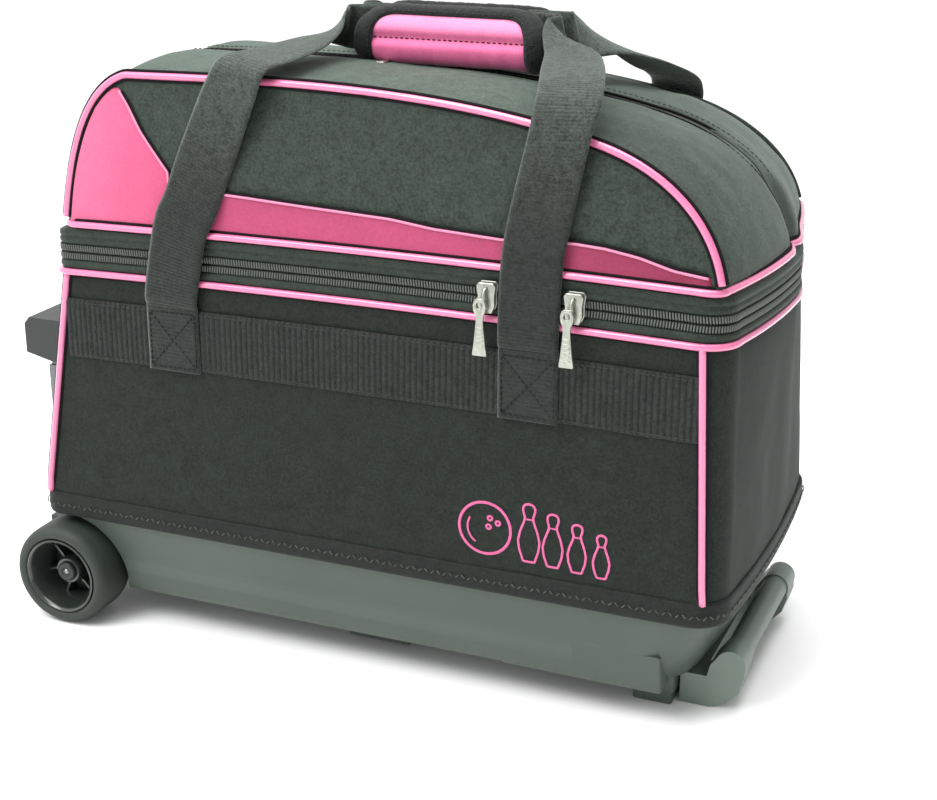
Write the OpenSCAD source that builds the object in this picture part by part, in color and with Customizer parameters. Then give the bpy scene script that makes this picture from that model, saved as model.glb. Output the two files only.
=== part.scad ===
/* [Body] */
// Straight length of the body's front at the zip line, corner to corner
body_l = 447; // [420:1:470]
// Width of the fabric body, front to back
body_w = 238; // [230:1:246]
// Height of the joint between the base tray and the fabric
base_z = 84; // [76:1:92]
// Height of the piping along the body's top edge
body_rim_z = 254; // [246:1:260]
// How far the left end leans out from the rim to the base
left_splay = 25; // [0:1:30]
// Thickness of the padded fabric walls
wall = 3; // [2:0.5:4]

/* [Lid] */
// Height of the piping along the lid's bottom edge
lid_rim_z = 286; // [282:1:292]
// Rise of the lid's front arch above its rim
lid_rise = 98; // [80:1:104]
// How far the front panel leans back at the top
front_lean = 11; // [0:1:20]
// How far the back panel leans forward at the top
back_lean = 19; // [0:1:30]
// Radius of the piping
piping_r = 2.2; // [1.5:0.1:2.6]

/* [Webbing] */
// Width of the carry straps and of the sewn band
webbing_w = 38; // [30:1:42]
// Thickness of the webbing
webbing_t = 2; // [1.5:0.5:3]
// Height of the lower edge of the sewn band
band_z = 196; // [180:1:205]
// Length of the padded handle sleeve
sleeve_l = 131; // [110:1:140]

/* [Running gear] */
// Radius of the wheels over the tyre
wheel_r = 36; // [34:0.5:38]
// Width of the tyre
tyre_w = 38; // [30:1:40]
// Radius of the wheel axle
axle_r = 4; // [3:0.5:5]
// Radial clearance between wheel and axle
axle_gap = 0.05; // [0.02:0.01:0.1]
// Radius of the grab bar
bar_r = 8.5; // [7:0.5:9]

/* [Pull handle] */
// Outer size of the fixed square tubes
tube_w = 26; // [24:1:26]
// Wall of each square tube
tube_wall = 1.2; // [0.8:0.1:1.3]
// Clearance between nested tubes on each side
tube_gap = 0.35; // [0.3:0.05:0.4]
// Length of the fixed tubes
tube_l = 150; // [130:1:152]
// Distance between the two tubes
tube_pitch = 100; // [90:1:110]

/* [Hidden] */

half_w = body_w / 2;
body_x0 = -197;
body_x1 = body_x0 + body_l;
zip_z = (body_rim_z + lid_rim_z) / 2 - 3;   // parting line of the main zip
zip_gap = 0.4;                              // gap between the two halves of the zip
coil_z0 = zip_z - 4.6;
coil_z1 = zip_z + 4.6;
liner_in = wall - 0.5;                      // outside of the stiffener behind the zip tapes
tape_out = 0.5;                             // outside of the zip tapes
coil_out = -1;                              // outside of the zip coils
crown = 0.08;                               // extra rise of the lid across its middle
back_drop = 0.095;                          // how much lower the back of the lid is
lid_x0 = -188;
lid_x1 = 244;
lid_bow0 = 7;                               // bow of the lid's left and right ends
lid_bow1 = 16;
hub_x = -210;
axle_y = 124;                                // end of the axle, inside the wheel's dish
wheel_y = 134.9;                            // outer face of each wheel
well_r = wheel_r + 5;
well_y = 89;                                // inner face of each wheel well
bar_x = 251;
cheek_y = 50;                                // inner face of the cheeks that carry the grab bar
cheek_w = 22;
bar_z = 32;
tray_z = 22;
tube_x = -243;
tube_z = 14;
grip_x0 = -265;
band_t = 2.5;
band_h = 40;
strap_y = half_w + band_t + webbing_t / 2;  // middle of a strap where it lies on its band
strap_over = half_w + 2 * piping_r + 0.6 + webbing_t / 2;  // middle of a strap where it crosses a piping
strap_x = [-111, 132];                      // middle of each sewn strap end
strap_z = band_z + band_h + 3;              // where the straps leave the body
grip_top = tube_z + tube_l + 38;
sleeve_x0 = -27;
sleeve_z = [389.5, 422];
fabric_colour = [0.17, 0.2, 0.19];
pink = [0.93, 0.27, 0.58];
pale_pink = [0.97, 0.55, 0.75];
plastic_colour = [0.36, 0.42, 0.39];
webbing_colour = [0.13, 0.15, 0.14];
metal_colour = [0.75, 0.76, 0.74];
pad_colour = [0.3, 0.3, 0.32];

// ---- functions -------------------------------------------------------------------------------

function lerp(a, b, t) = a + (b - a) * t;
function unit(v) = v / norm(v);
function arc(c, r, a0, a1, n = 6) =
    [for (i = [0:n]) [c[0] + r * cos(lerp(a0, a1, i / n)), c[1] + r * sin(lerp(a0, a1, i / n))]];
function bow(x, depth, y0, y1, n = 8) =
    [for (i = [1:n - 1]) let (t = 2 * i / n - 1) [x + depth * (1 - t * t), lerp(y0, y1, i / n)]];

// Plan outline, seen from above and anticlockwise: two corner radii and two bowed ends
function plan(x0, x1, hw, r0, r1, bow0, bow1) = concat(
    arc([x1 - r1, r1 - hw], r1, -90, 0),
    bow(x1, bow1, r1 - hw, hw - r1),
    arc([x1 - r1, hw - r1], r1, 0, 90),
    arc([x0 + r0, hw - r0], r0, 90, 180),
    bow(x0, -bow0, hw - r0, r0 - hw),
    arc([x0 + r0, r0 - hw], r0, 180, 270));
function at_z(outline, z) = [for (p = outline) [p[0], p[1], z]];

// Body outlines at the rim and at the base, moved in by d
function body_top(d) = plan(body_x0 + d, body_x1 - d, half_w - d, 9, 22, 6, 10.6);
function body_bottom(d) =
    plan(body_x0 - left_splay + d, body_x1 + 4 - d, half_w - d, 12, 22, 4, 4);
function tray_top(d) = plan(body_x0 - left_splay + d, body_x1 - 3 - d, half_w - 2 - d, 28, 28, 4, 11);
function tray_low(d) = plan(body_x0 - 28 + d, 230 - d, 108 - d, 16, 52, 2, 2);
function lid_rim(d) = plan(lid_x0 + d, lid_x1 - d, half_w - d, 12, 14, lid_bow0, lid_bow1);

// Cubic curve through four control points
function bezier(p, t) = p[0] * pow(1 - t, 3) + p[1] * 3 * t * pow(1 - t, 2)
    + p[2] * 3 * t * t * (1 - t) + p[3] * pow(t, 3);
function curve(p, n) = [for (i = [0:n - 1]) bezier(p, i / n)];

// Front arch of the lid in X and Z, as heights above the rim: a tight left shoulder and a long right one
ARCH = concat(
    curve([[lid_x0, 0], [-185, 40], [-176, 86], [-144, 95.5]], 9),
    curve([[-144, 95.5], [-60, 97], [60, 102], [160, 77]], 12),
    curve([[160, 77], [205, 67], [238, 39], [lid_x1, 0]], 10),
    [[lid_x1, 0]]);

// A point of the lid's skin: arch point p, across the lid from t = -1 (front) to 1 (back), moved in by d
function lid_point(p, t, d) =
    let (h = p[1] / lid_rise,
         u = (t + 1) / 2,
         mid = (lid_x0 + lid_x1) / 2,
         bowed = (1 - t * t) * (p[0] < mid ? -lid_bow0 : lid_bow1) * abs(p[0] - mid) / 216,
         y0 = -half_w + front_lean * h + d,
         y1 = half_w - back_lean * h - d,
         x = mid + (p[0] - mid) * (1 - d / 216) + bowed,
         z = p[1] * (1 + crown * (1 - t * t) - back_drop * u) * (1 - d / 98))
    [x, lerp(y0, y1, u), lid_rim_z + z];
function lid_ring(t, d) = [for (p = ARCH) lid_point(p, t, d)];
LID_STATIONS = [for (i = [0:8]) -1 + i / 4];
crown_y = lid_point(ARCH[15], 0, 0)[1];     // crest of the lid under the handle sleeve
crown_z = lid_point(ARCH[15], 0, 0)[2];

// The lid's bottom edge, right round
function lid_edge(d) = concat(
    [for (t = LID_STATIONS) lid_point(ARCH[len(ARCH) - 1], t, d)],
    [for (t = LID_STATIONS) lid_point(ARCH[0], -t, d)]);

// ---- shared shapes ---------------------------------------------------------------------------

// Closed solid through rings of equal length
module loft(rings) {
    n = len(rings[0]);
    m = len(rings);
    side = [for (k = [0:m - 2], i = [0:n - 1])
        let (a = k * n + i, b = k * n + (i + 1) % n)
        each [[a, a + n, b + n], [a, b + n, b]]];
    first = [[for (i = [0:n - 1]) i]];
    last = [[for (i = [0:n - 1]) m * n - 1 - i]];
    polyhedron(points = [for (r = rings) each r], faces = concat(first, side, last), convexity = 8);
}

// Tube of radius r along a closed or open path, with a fixed second direction across it
module tube_along(path, r, across, closed, sides = 6) {
    n = len(path);
    rings = [for (i = [0:n - 1])
        let (a = path[closed ? (i + n - 1) % n : max(i - 1, 0)],
             b = path[closed ? (i + 1) % n : min(i + 1, n - 1)],
             side = unit(cross(unit(b - a), across)),
             up = unit(cross(side, unit(b - a))))
        [for (k = [0:sides - 1]) path[i] + r * (cos(360 * k / sides) * side + sin(360 * k / sides) * up)]];
    if (closed) {
        faces = [for (i = [0:n - 1], k = [0:sides - 1])
            let (j = (i + 1) % n * sides, l = (k + 1) % sides)
            each [[i * sides + k, i * sides + l, j + l], [i * sides + k, j + l, j + k]]];
        polyhedron(points = [for (q = rings) each q], faces = faces, convexity = 8);
    } else {
        loft([for (q = rings) [for (k = [0:sides - 1]) q[sides - 1 - k]]]);
    }
}

// Flat strip of thickness t along stations [point, half-width vector]
module strip_along(stations, t) {
    n = len(stations);
    loft([for (i = [0:n - 1])
        let (s = stations[i],
             tangent = stations[min(i + 1, n - 1)][0] - stations[max(i - 1, 0)][0],
             up = unit(cross(tangent, s[1])) * t / 2)
        [s[0] - s[1] - up, s[0] + s[1] - up, s[0] + s[1] + up, s[0] - s[1] + up]]);
}

// Plate standing in the XZ plane with rounded corners, from y0 to y1
module upright_plate(x0, x1, z0, z1, r, y0, y1) {
    translate([0, y1, 0])
        rotate([90, 0, 0])
            linear_extrude(y1 - y0) {
                translate([x0 + r, z0]) square([x1 - x0 - 2 * r, z1 - z0]);
                translate([x0, z0 + r]) square([x1 - x0, z1 - z0 - 2 * r]);
                for (x = [x0 + r, x1 - r], z = [z0 + r, z1 - r])
                    translate([x, z]) circle(r, $fn = 48);
            }
}

// Cylinder along Y from y0 to y1
module y_cylinder(x, z, r, y0, y1) {
    translate([x, y0, z]) rotate([-90, 0, 0]) cylinder(r = r, h = y1 - y0, $fn = 96);
}

module mirrored_y() {
    children();
    mirror([0, 1, 0]) children();
}

// ---- base ------------------------------------------------------------------------------------

module tray_solid(d) {
    loft([
        at_z(tray_low(4 + d), tray_z + d),
        at_z(tray_low(d), tray_z + 4 + d),
        at_z([for (i = [0:len(tray_low(0)) - 1]) lerp(tray_low(d)[i], tray_top(d)[i], 0.62)], 54),
        at_z(tray_top(d), base_z + (d > 0 ? 1 : 0))]);
}

module wheel_well(r, y0) {
    y_cylinder(hub_x, wheel_r, r, -half_w - 20, -y0);
}

// Moulded tub with two wheel wells, an axle bore through each well and two front feet
module base_tray() color(plastic_colour) {
    difference() {
        union() {
            tray_solid(0);
            mirrored_y() translate([190, -80, 0]) cube([26, 26, tray_z + 2]);
        }
        difference() {
            tray_solid(wall);
            mirrored_y() wheel_well(well_r + 3, well_y - 3);
        }
        mirrored_y() wheel_well(well_r, well_y);
        y_cylinder(hub_x, wheel_r, axle_r, -half_w, half_w);
    }
}

module ring_band(outer_low, outer_high, inner_low, inner_high, z0, z1) {
    difference() {
        loft([at_z(outer_low, z0), at_z(outer_high, z1)]);
        loft([at_z(inner_low, z0 - 1), at_z(inner_high, z1 + 1)]);
    }
}

// One half of the main zip, on the body's stiffener or on the lid's
module zip_ring(on_body, out, z0, z1) {
    outer = on_body ? body_top(out) : lid_rim(out);
    inner = on_body ? body_top(liner_in) : lid_rim(liner_in);
    ring_band(outer, outer, inner, inner, z0, z1);
}

module base_binding() color(webbing_colour)
    difference() {
        loft([at_z(body_bottom(-1.6), base_z - 6), at_z(body_bottom(-1.6), base_z + 10)]);
        loft([at_z(body_bottom(0), base_z - 7), at_z(body_bottom(0), base_z), at_z(body_top(0), body_rim_z)]);
    }

module base_board() color(pad_colour)
    intersection() {
        loft([at_z(tray_low(wall + 4.5), 40), at_z(tray_low(wall + 4.5), 43)]);
        translate([-162, -100, 39]) cube([386, 200, 5]);
    }

// Foam cup that a ball sits in
module ball_cup(x) color(pad_colour)
    translate([x, 0, 43]) difference() {
        cylinder(r = 78, h = 20, $fn = 96);
        translate([0, 0, 114]) sphere(r = 110, $fn = 96);
        translate([0, 0, -1]) cylinder(r = 30, h = 30, $fn = 96);
    }

// Upright foam panel between the two balls
module ball_divider() color(pad_colour)
    translate([16, 0, 0]) rotate([90, 0, 90]) linear_extrude(8)
        polygon([[-104, 43], [104, 43], [109, 54], [112.5, 86], [half_w - wall - 1, 163],
            [wall + 1 - half_w, 163], [-112.5, 86], [-109, 54]]);

// ---- body ------------------------------------------------------------------------------------

module body_shell() {
    ring_band(body_bottom(0), body_top(0), body_bottom(wall), body_top(wall), base_z, body_rim_z);
    ring_band(body_top(liner_in), body_top(liner_in), body_top(2 * wall), body_top(2 * wall),
        body_rim_z - 3, zip_z - zip_gap / 2);
}

// Everything between the slanted corner seams
module between_seams() {
    translate([0, 200, 0]) rotate([90, 0, 0]) linear_extrude(400)
        polygon([[body_x0 - left_splay + 6, base_z - 10], [body_x0 + 6, body_rim_z + 30],
            [body_x1 - 15, body_rim_z + 30], [body_x1 - 7, base_z - 10]]);
}

module body_side(sign) color(fabric_colour)
    intersection() {
        body_shell();
        between_seams();
        translate([-300, sign < 0 ? -200 : 0, 0]) cube([600, 200, 400]);
    }

module body_end(sign) color(fabric_colour)
    difference() {
        intersection() {
            body_shell();
            translate([sign < 0 ? -400 : 0, -200, 0]) cube([400, 400, 400]);
        }
        between_seams();
    }

module body_front_panel() body_side(-1);
module body_back_panel() body_side(1);
module body_left_panel() body_end(-1);
module body_right_panel() body_end(1);

// The two upright pipings of the front or the back corners
module corner_piping(sign) color(pale_pink)
    for (x = [[body_x0 - left_splay + 6, body_x0 + 5], [body_x1 - 8, body_x1 - 15]])
        tube_along([[x[0], sign * (half_w + piping_r), base_z + 12],
            [lerp(x[0], x[1], 0.5), sign * (half_w + piping_r), 170],
            [x[1], sign * (half_w + piping_r), body_rim_z - 4]], piping_r, [0, 1, 0], false, 12);

module front_corner_piping() corner_piping(-1);
module back_corner_piping() corner_piping(1);

module body_rim_piping() color(pale_pink)
    tube_along(at_z(body_top(-piping_r), body_rim_z), piping_r, [0, 0, 1], true);

module body_zip_tape() color(webbing_colour)
    zip_ring(true, tape_out, body_rim_z, coil_z0);

module body_zip_coil() color(webbing_colour)
    zip_ring(true, coil_out, coil_z0, zip_z - zip_gap / 2);

module webbing_band(sign) color(webbing_colour)
    translate([body_x0 + 8, sign < 0 ? -half_w - band_t : half_w, band_z]) cube([body_l - 28, band_t, band_h]);

module front_webbing_band() webbing_band(-1);
module back_webbing_band() webbing_band(1);

// Sewn ends of a strap, flat on the band
module strap_ends() color(webbing_colour)
    for (x = strap_x)
        translate([x - webbing_w / 2, -strap_y - webbing_t / 2, band_z + 1])
            cube([webbing_w, webbing_t, strap_z - band_z - 2]);

module front_strap_ends() strap_ends();
module back_strap_ends() mirror([0, 1, 0]) strap_ends();

// Plain sewn badge: a ball and a pin
module front_emblem() color(pink) {
    y_cylinder(104, 122, 19, -half_w - 1, -half_w);
    upright_plate(142, 158, 99, 146, 7, -half_w - 1, -half_w);
}

// ---- running gear ----------------------------------------------------------------------------

// Cheeks that carry the bar and stand on the floor, and the beam that joins them under the tray
module grab_bar() color(plastic_colour)
    difference() {
        union() {
            mirrored_y() translate([0, -cheek_y, 0]) rotate([90, 0, 0]) linear_extrude(cheek_w)
                polygon([[219, 0], [238, 0], [250, 6], [257, 14], [260, 24], [260, 34], [244, 38],
                    [238, 30], [236, tray_z - 0.5], [219, tray_z - 0.5]]);
            mirrored_y() y_cylinder(bar_x, bar_z, bar_r + 1, -cheek_y - cheek_w, -cheek_y);
            y_cylinder(bar_x, bar_z, bar_r, -cheek_y - 1, cheek_y + 1);
            translate([219, -cheek_y - 1, 12]) cube([14, 2 * cheek_y + 2, tray_z - 12.5]);
        }
        for (y = [-34, 34]) translate([226, y, 5]) cylinder(r = 1.8, h = 30, $fn = 48);
    }

module grab_bar_screws() color(metal_colour)
    for (y = [-34, 34]) translate([226, y, 0]) {
        translate([0, 0, 9.5]) cylinder(r = 4, h = 2.5, $fn = 48);
        translate([0, 0, 9.5]) cylinder(r = 1.8, h = 12, $fn = 48);
    }

module centre_skid() color(fabric_colour)
    translate([-10, -84, 8]) cube([44, 168, tray_z - 8]);

module wheel_axle() color(metal_colour)
    y_cylinder(hub_x, wheel_r, axle_r, -axle_y, axle_y);

module axle_caps() color(plastic_colour)
    mirrored_y() difference() {
        y_cylinder(hub_x, wheel_r, 7.5, -axle_y - 2, -axle_y + 1);
        y_cylinder(hub_x, wheel_r, axle_r, -axle_y, -axle_y + 2);
    }

// Half profile of a wheel part, turned about the axle; x is the radius and y the place along the axle
module turned(points) {
    translate([hub_x, 0, wheel_r]) rotate([90, 0, 0])
        rotate_extrude($fn = 120) polygon(points);
}

module wheel_tyre_front() color([0.12, 0.13, 0.13]) {
    in = wheel_y - tyre_w;
    turned([[27, in + 2], [30, in], [33, in + 1], [35.2, in + 4], [wheel_r, in + 10], [wheel_r, wheel_y - 10],
        [35.2, wheel_y - 4], [33, wheel_y - 1], [30, wheel_y], [27, wheel_y - 2]]);
}

module wheel_hub_front() color(plastic_colour) {
    in = wheel_y - tyre_w + 2;
    out = wheel_y - 2;
    turned([[24, in], [27, in], [27, out], [24, out], [23, out - 8], [23, in + 8]]);
    boss = axle_y - 1.4;
    turned([[axle_r + axle_gap, 92], [10, 92], [10, boss], [axle_r + axle_gap, boss]]);
    for (a = [12:60:312])
        translate([hub_x, 4 - boss, wheel_r]) rotate([0, a, 0]) translate([8.5, 0, -2]) cube([16, 12, 4]);
}

module wheel_tyre_back() mirror([0, 1, 0]) wheel_tyre_front();
module wheel_hub_back() mirror([0, 1, 0]) wheel_hub_front();

// ---- pull handle -----------------------------------------------------------------------------

function stage_w(stage) = tube_w - stage * 2 * (tube_wall + tube_gap);

// A pair of square tubes, stage 0 being the fixed one
module tube_pair(stage) color(metal_colour) {
    w = stage_w(stage);
    z0 = tube_z + stage * 2 + (stage == 0 ? 0 : 2);
    z1 = tube_z + tube_l + (stage == 4 ? 24 : stage * 1.5);
    for (y = [-tube_pitch / 2, tube_pitch / 2])
        translate([tube_x - w / 2, y - w / 2, z0]) difference() {
            cube([w, w, z1 - z0]);
            translate([tube_wall, tube_wall, stage == 0 ? 2 : -1])
                cube([w - 2 * tube_wall, w - 2 * tube_wall, tube_l + 40]);
        }
}

module handle_outer_tubes() tube_pair(0);
module handle_stage_1() tube_pair(1);
module handle_stage_2() tube_pair(2);
module handle_stage_3() tube_pair(3);
module handle_stage_4() tube_pair(4);

// Saddle that holds the fixed tubes against the tray's end
module handle_bracket() color(plastic_colour)
    difference() {
        translate([tube_x - tube_w / 2 - 3, -72, 30]) cube([34.5, 144, 20]);
        for (y = [-tube_pitch / 2, tube_pitch / 2])
            translate([tube_x - tube_w / 2, y - tube_w / 2, 0]) cube([tube_w, tube_w, 100]);
        tray_solid(0);
    }

module handle_grip() color(plastic_colour) {
    w = stage_w(4);
    difference() {
        translate([0, 75, 0]) rotate([90, 0, 0]) linear_extrude(150)
            polygon([[grip_x0, grip_top - 26], [grip_x0, grip_top - 5], [grip_x0 + 4, grip_top], [-234, grip_top],
                [-229, grip_top - 5], [-229, grip_top - 31], [tube_x, grip_top - 31]]);
        for (y = [-tube_pitch / 2, tube_pitch / 2])
            translate([tube_x - w / 2, y - w / 2, 0]) cube([w, w, grip_top - 14]);
        translate([-253, -16.4, grip_top - 8]) cube([14.8, 32.8, 20]);
    }
}

module handle_button() color(webbing_colour)
    translate([-252.6, -16, grip_top - 3.7]) cube([14, 32, 7]);

// ---- lid -------------------------------------------------------------------------------------

module lid_solid(d) {
    loft([for (t = LID_STATIONS) lid_ring(t, d)]);
}

module lid_shell() {
    difference() {
        lid_solid(0);
        lid_solid(wall);
        translate([-300, -200, lid_rim_z - 50]) cube([600, 400, 50]);
    }
    ring_band(lid_rim(liner_in), lid_rim(liner_in), lid_rim(2 * wall), lid_rim(2 * wall),
        zip_z + zip_gap / 2, lid_rim_z + 2);
}

// Solid in front of the lid's front seam
module front_slice() {
    translate([-300, -200, 0]) cube([600, 200 - half_w + front_lean + 1, 600]);
}

module back_slice() {
    translate([-300, half_w - back_lean - 1, 0]) cube([600, 200, 600]);
}

// Strip that follows the lid's crown: half-width, thickness, and depth of its middle below the skin
module crown_strip(w, t, depth) {
    strip_along([for (i = [5:len(ARCH) - 6])
        [lid_point(ARCH[i], 0, depth), [0, w, 0]]], t);
}

module lid_front_panel() color(fabric_colour)
    intersection() {
        lid_shell();
        front_slice();
    }

module lid_back_panel() color(fabric_colour)
    intersection() {
        lid_shell();
        back_slice();
    }

module lid_gusset() color(fabric_colour)
    difference() {
        lid_shell();
        front_slice();
        back_slice();
        crown_strip(7, 6, 1.5);
    }

module lid_floor() color(pad_colour)
    loft([at_z(lid_rim(2 * wall + 0.5), 276), at_z(lid_rim(2 * wall + 0.5), 278)]);

module lid_rim_piping() color(pale_pink)
    tube_along(lid_edge(-piping_r), piping_r, [0, 0, 1], true);

module lid_zip_tape() color(webbing_colour)
    zip_ring(false, tape_out, coil_z1, lid_rim_z);

module lid_zip_coil() color(webbing_colour)
    zip_ring(false, coil_out, zip_z + zip_gap / 2, coil_z1);

// Piping along an arch of the lid, just outside its seam
module arch_piping(t, out) {
    tube_along([for (i = [1:len(ARCH) - 3]) lid_point(ARCH[i], t, -piping_r) + [0, out, 0]],
        piping_r, [0, 1, 0], false);
}

module front_arch_piping() color(pale_pink) arch_piping(-1, 0.5);
module back_arch_piping() color(fabric_colour) arch_piping(1, -0.5);

// Thin skin on the lid's front panel, inside a polygon in X and Z
module front_skin(points) {
    intersection() {
        difference() {
            lid_solid(-1);
            lid_solid(0);
        }
        translate([0, 0, lid_rim_z]) rotate([90, 0, 0]) linear_extrude(200) polygon(points);
        front_slice();
    }
}

module pink_corner_panel() color(pink)
    front_skin([[-186, 3], [-114, 3], [-104, 38], [-122, 55], [-134, 72], [-145, 88], [-150, 91],
        [-166, 82], [-176, 60], [-183, 30]]);

module pink_sweep_panel() color(pink)
    front_skin([[-70, 3], [240, 3], [238, 9], [217, 10], [160, 18], [114, 17], [42, 22], [-18, 25], [-70, 28]]);

module top_zip_tape() color(webbing_colour) crown_strip(7, 1.5, 3.6);

module top_zip_coil() color(webbing_colour)
    difference() {
        crown_strip(2.5, 2.4, 3);
        crown_strip(7, 1.5, 3.6);
        crown_strip(8, 2, 5);
    }

// Slider of the top zip and its tab, which lies under the handle sleeve
module top_slider() color(metal_colour)
    translate([-10, crown_y - 4.5, crown_z - 0.9]) cube([12, 9, 3.4]);

module top_pull() color(metal_colour)
    translate([-8, -33, crown_z + 1.8]) cube([7, 33 + crown_y - 4.5, 1.4]);

// ---- carry straps ----------------------------------------------------------------------------

// Half-width vector of a strap: its direction, and the share of the full width that lies flat
function across(v, share = 1) = unit(v) * share * webbing_w / 2;

// Stations of a strap from the left seam up over the lid to the handle
function strap_left(drop) = [
    [[strap_x[0], -strap_y, strap_z], across([1, 0, 0])],
    [[strap_x[0] + 1, -strap_over, 249], across([19, 0, -2])],
    [[-101, -strap_over, 290], across([18, 0, -6])],
    [[-93, -122.5, 308], across([18, 0, -7])],
    [[-81, -120.5, 338], across([17.5, 0, -7.5])],
    [[-64, -118, 379 - drop], across([17.3, -3, -7])],
    [[-57, -112.4, 394.5 - drop], across([18, -5, -3])],
    [[-50, -92, 397 - drop * 0.8], across([18, -5, -2])],
    [[-46, -60, 399 - drop / 2], across([18.5, -4, 0])],
    [[-42, -34, 403], across([16, -8, 4], 0.96)],
    [[-38, -17, 406], across([7, -7, 12], 0.86)],
    [[-30, -6.5, 406], across([0, 0, 1], 0.79)],
    [[34, -6.5, 406], across([0, 0, 1], 0.79)],
    [[105, -6.5, 406], across([0, 0, 1], 0.79)]];

// From the handle to the lid's right shoulder: the front strap stands up, the back one lies lower
FRONT_SHOULDER = [
    [[113, -14, 406.5], across([-7, -4, 9], 0.82)],
    [[122, -28, 404], across([-14, -3, 5], 0.9)],
    [[131, -48, 400.5], across([-18, -1, 2])],
    [[140, -76, 397.5], across([-18.7, -3, 0])],
    [[146.5, -97, 393], across([-18.8, -3, 0])],
    [[149.5, -110, 385], across([-18.8, -3, 0])],
    [[147, -118, 366], across([-19, 0, -1])]];
BACK_SHOULDER = [
    [[113, -15, 405], across([-7, -6, 12], 0.86)],
    [[123, -36, 399], across([-15, -8, 6], 0.95)],
    [[134, -58, 389], across([-18, -5, 2])],
    [[143, -80, 379], across([-18.8, -3, 0])],
    [[148.5, -99, 371.5], across([-18.8, -3, 0])],
    [[149.5, -112, 363], across([-18.8, -3, 0])],
    [[147, -118, 348], across([-19, 0, -1])]];

// Down to the right seam
STRAP_RIGHT = [
    [[138, -122.5, 320], across([-18.9, 0, 1.5])],
    [[134, -strap_over, 292], across([-19, 0, 0.5])],
    [[strap_x[1], -strap_over, 249], across([-19, 0, 0])],
    [[strap_x[1], -strap_y, strap_z], across([-19, 0, 0])]];

module front_strap() color(webbing_colour)
    strip_along(concat(strap_left(0), FRONT_SHOULDER, STRAP_RIGHT), webbing_t);
module back_strap() color(webbing_colour)
    mirror([0, 1, 0]) strip_along(concat(strap_left(9), BACK_SHOULDER, STRAP_RIGHT), webbing_t);

// Half of the padded sleeve, against the outer face of its strap
module handle_sleeve() color(pink)
    upright_plate(sleeve_x0, sleeve_x0 + sleeve_l, sleeve_z[0], sleeve_z[1], 12, -22, -6.5 - webbing_t / 2);

module front_sleeve() handle_sleeve();
module back_sleeve() mirror([0, 1, 0]) handle_sleeve();

// ---- main zip sliders ------------------------------------------------------------------------
// Places of the two sliders along the front, and how far left of each its tab hangs
left_slider_x = 106;
right_slider_x = 160;
pull_offset = 2;

// Slider body on the parting line of the main zip
module slider(x) color(metal_colour)
    difference() {
        upright_plate(x - 6.5, x + 6.5, zip_z - 9, zip_z + 11, 4, -128.7, -120.6);
        translate([x - 10, -127.5, zip_z - 1.6]) cube([20, 4, 5]);
    }

// Tab that hangs from a slider, with a round eye at its top
module pull(x) color(metal_colour)
    difference() {
        union() {
            upright_plate(x - 4.5, x + 4.5, zip_z - 36, zip_z - 10, 2, -132, -129.6);
            upright_plate(x - 2.5, x + 2.5, zip_z - 18, zip_z + 1.2, 2, -132, -129.6);
        }
        y_cylinder(x, zip_z - 31, 1.8, -140, -120);
    }

module left_slider() slider(left_slider_x);
module left_pull() pull(left_slider_x - pull_offset);
module right_slider() slider(right_slider_x);
module right_pull() pull(right_slider_x - pull_offset);

// ---- assembly --------------------------------------------------------------------------------

base_tray();
base_binding();
base_board();
ball_cup(-98);  // ball_cup_left
ball_cup(130);  // ball_cup_right
ball_divider();
body_front_panel();
body_back_panel();
body_left_panel();
body_right_panel();
front_corner_piping();
back_corner_piping();
body_rim_piping();
body_zip_tape();
body_zip_coil();
front_webbing_band();
back_webbing_band();
front_strap_ends();
back_strap_ends();
front_emblem();
grab_bar();
grab_bar_screws();
centre_skid();
wheel_axle();
axle_caps();
wheel_hub_front();
wheel_tyre_front();
wheel_hub_back();
wheel_tyre_back();
handle_bracket();
handle_outer_tubes();
handle_stage_1();
handle_stage_2();
handle_stage_3();
handle_stage_4();
handle_grip();
handle_button();
lid_front_panel();
lid_back_panel();
lid_gusset();
lid_floor();
lid_rim_piping();
lid_zip_tape();
lid_zip_coil();
front_arch_piping();
back_arch_piping();
pink_corner_panel();
pink_sweep_panel();
top_zip_tape();
top_zip_coil();
top_slider();
top_pull();
front_strap();
front_sleeve();
back_strap();
back_sleeve();
left_slider();
left_pull();
right_slider();
right_pull();
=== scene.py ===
"""Wheeled two-ball bowling bag: cloth, webbing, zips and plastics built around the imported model."""
import math

import bmesh
import bpy
import numpy as np
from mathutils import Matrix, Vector, noise


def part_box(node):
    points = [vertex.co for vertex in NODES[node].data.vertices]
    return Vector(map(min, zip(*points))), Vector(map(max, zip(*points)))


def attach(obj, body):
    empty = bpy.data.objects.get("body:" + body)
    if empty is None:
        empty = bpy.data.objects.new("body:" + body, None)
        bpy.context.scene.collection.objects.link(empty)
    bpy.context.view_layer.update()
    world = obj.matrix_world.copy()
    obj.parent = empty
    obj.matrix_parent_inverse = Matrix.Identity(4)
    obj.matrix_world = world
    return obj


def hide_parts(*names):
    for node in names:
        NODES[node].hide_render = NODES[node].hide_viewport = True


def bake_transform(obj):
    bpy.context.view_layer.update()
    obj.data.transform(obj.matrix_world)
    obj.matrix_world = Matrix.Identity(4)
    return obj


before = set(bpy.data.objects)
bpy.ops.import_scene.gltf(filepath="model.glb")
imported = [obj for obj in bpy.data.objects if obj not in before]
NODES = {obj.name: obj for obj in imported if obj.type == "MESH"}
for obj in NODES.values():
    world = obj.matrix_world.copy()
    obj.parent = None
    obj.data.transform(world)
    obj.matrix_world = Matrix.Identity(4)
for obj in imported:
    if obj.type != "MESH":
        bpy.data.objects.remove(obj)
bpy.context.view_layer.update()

MM = 0.001

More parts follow.
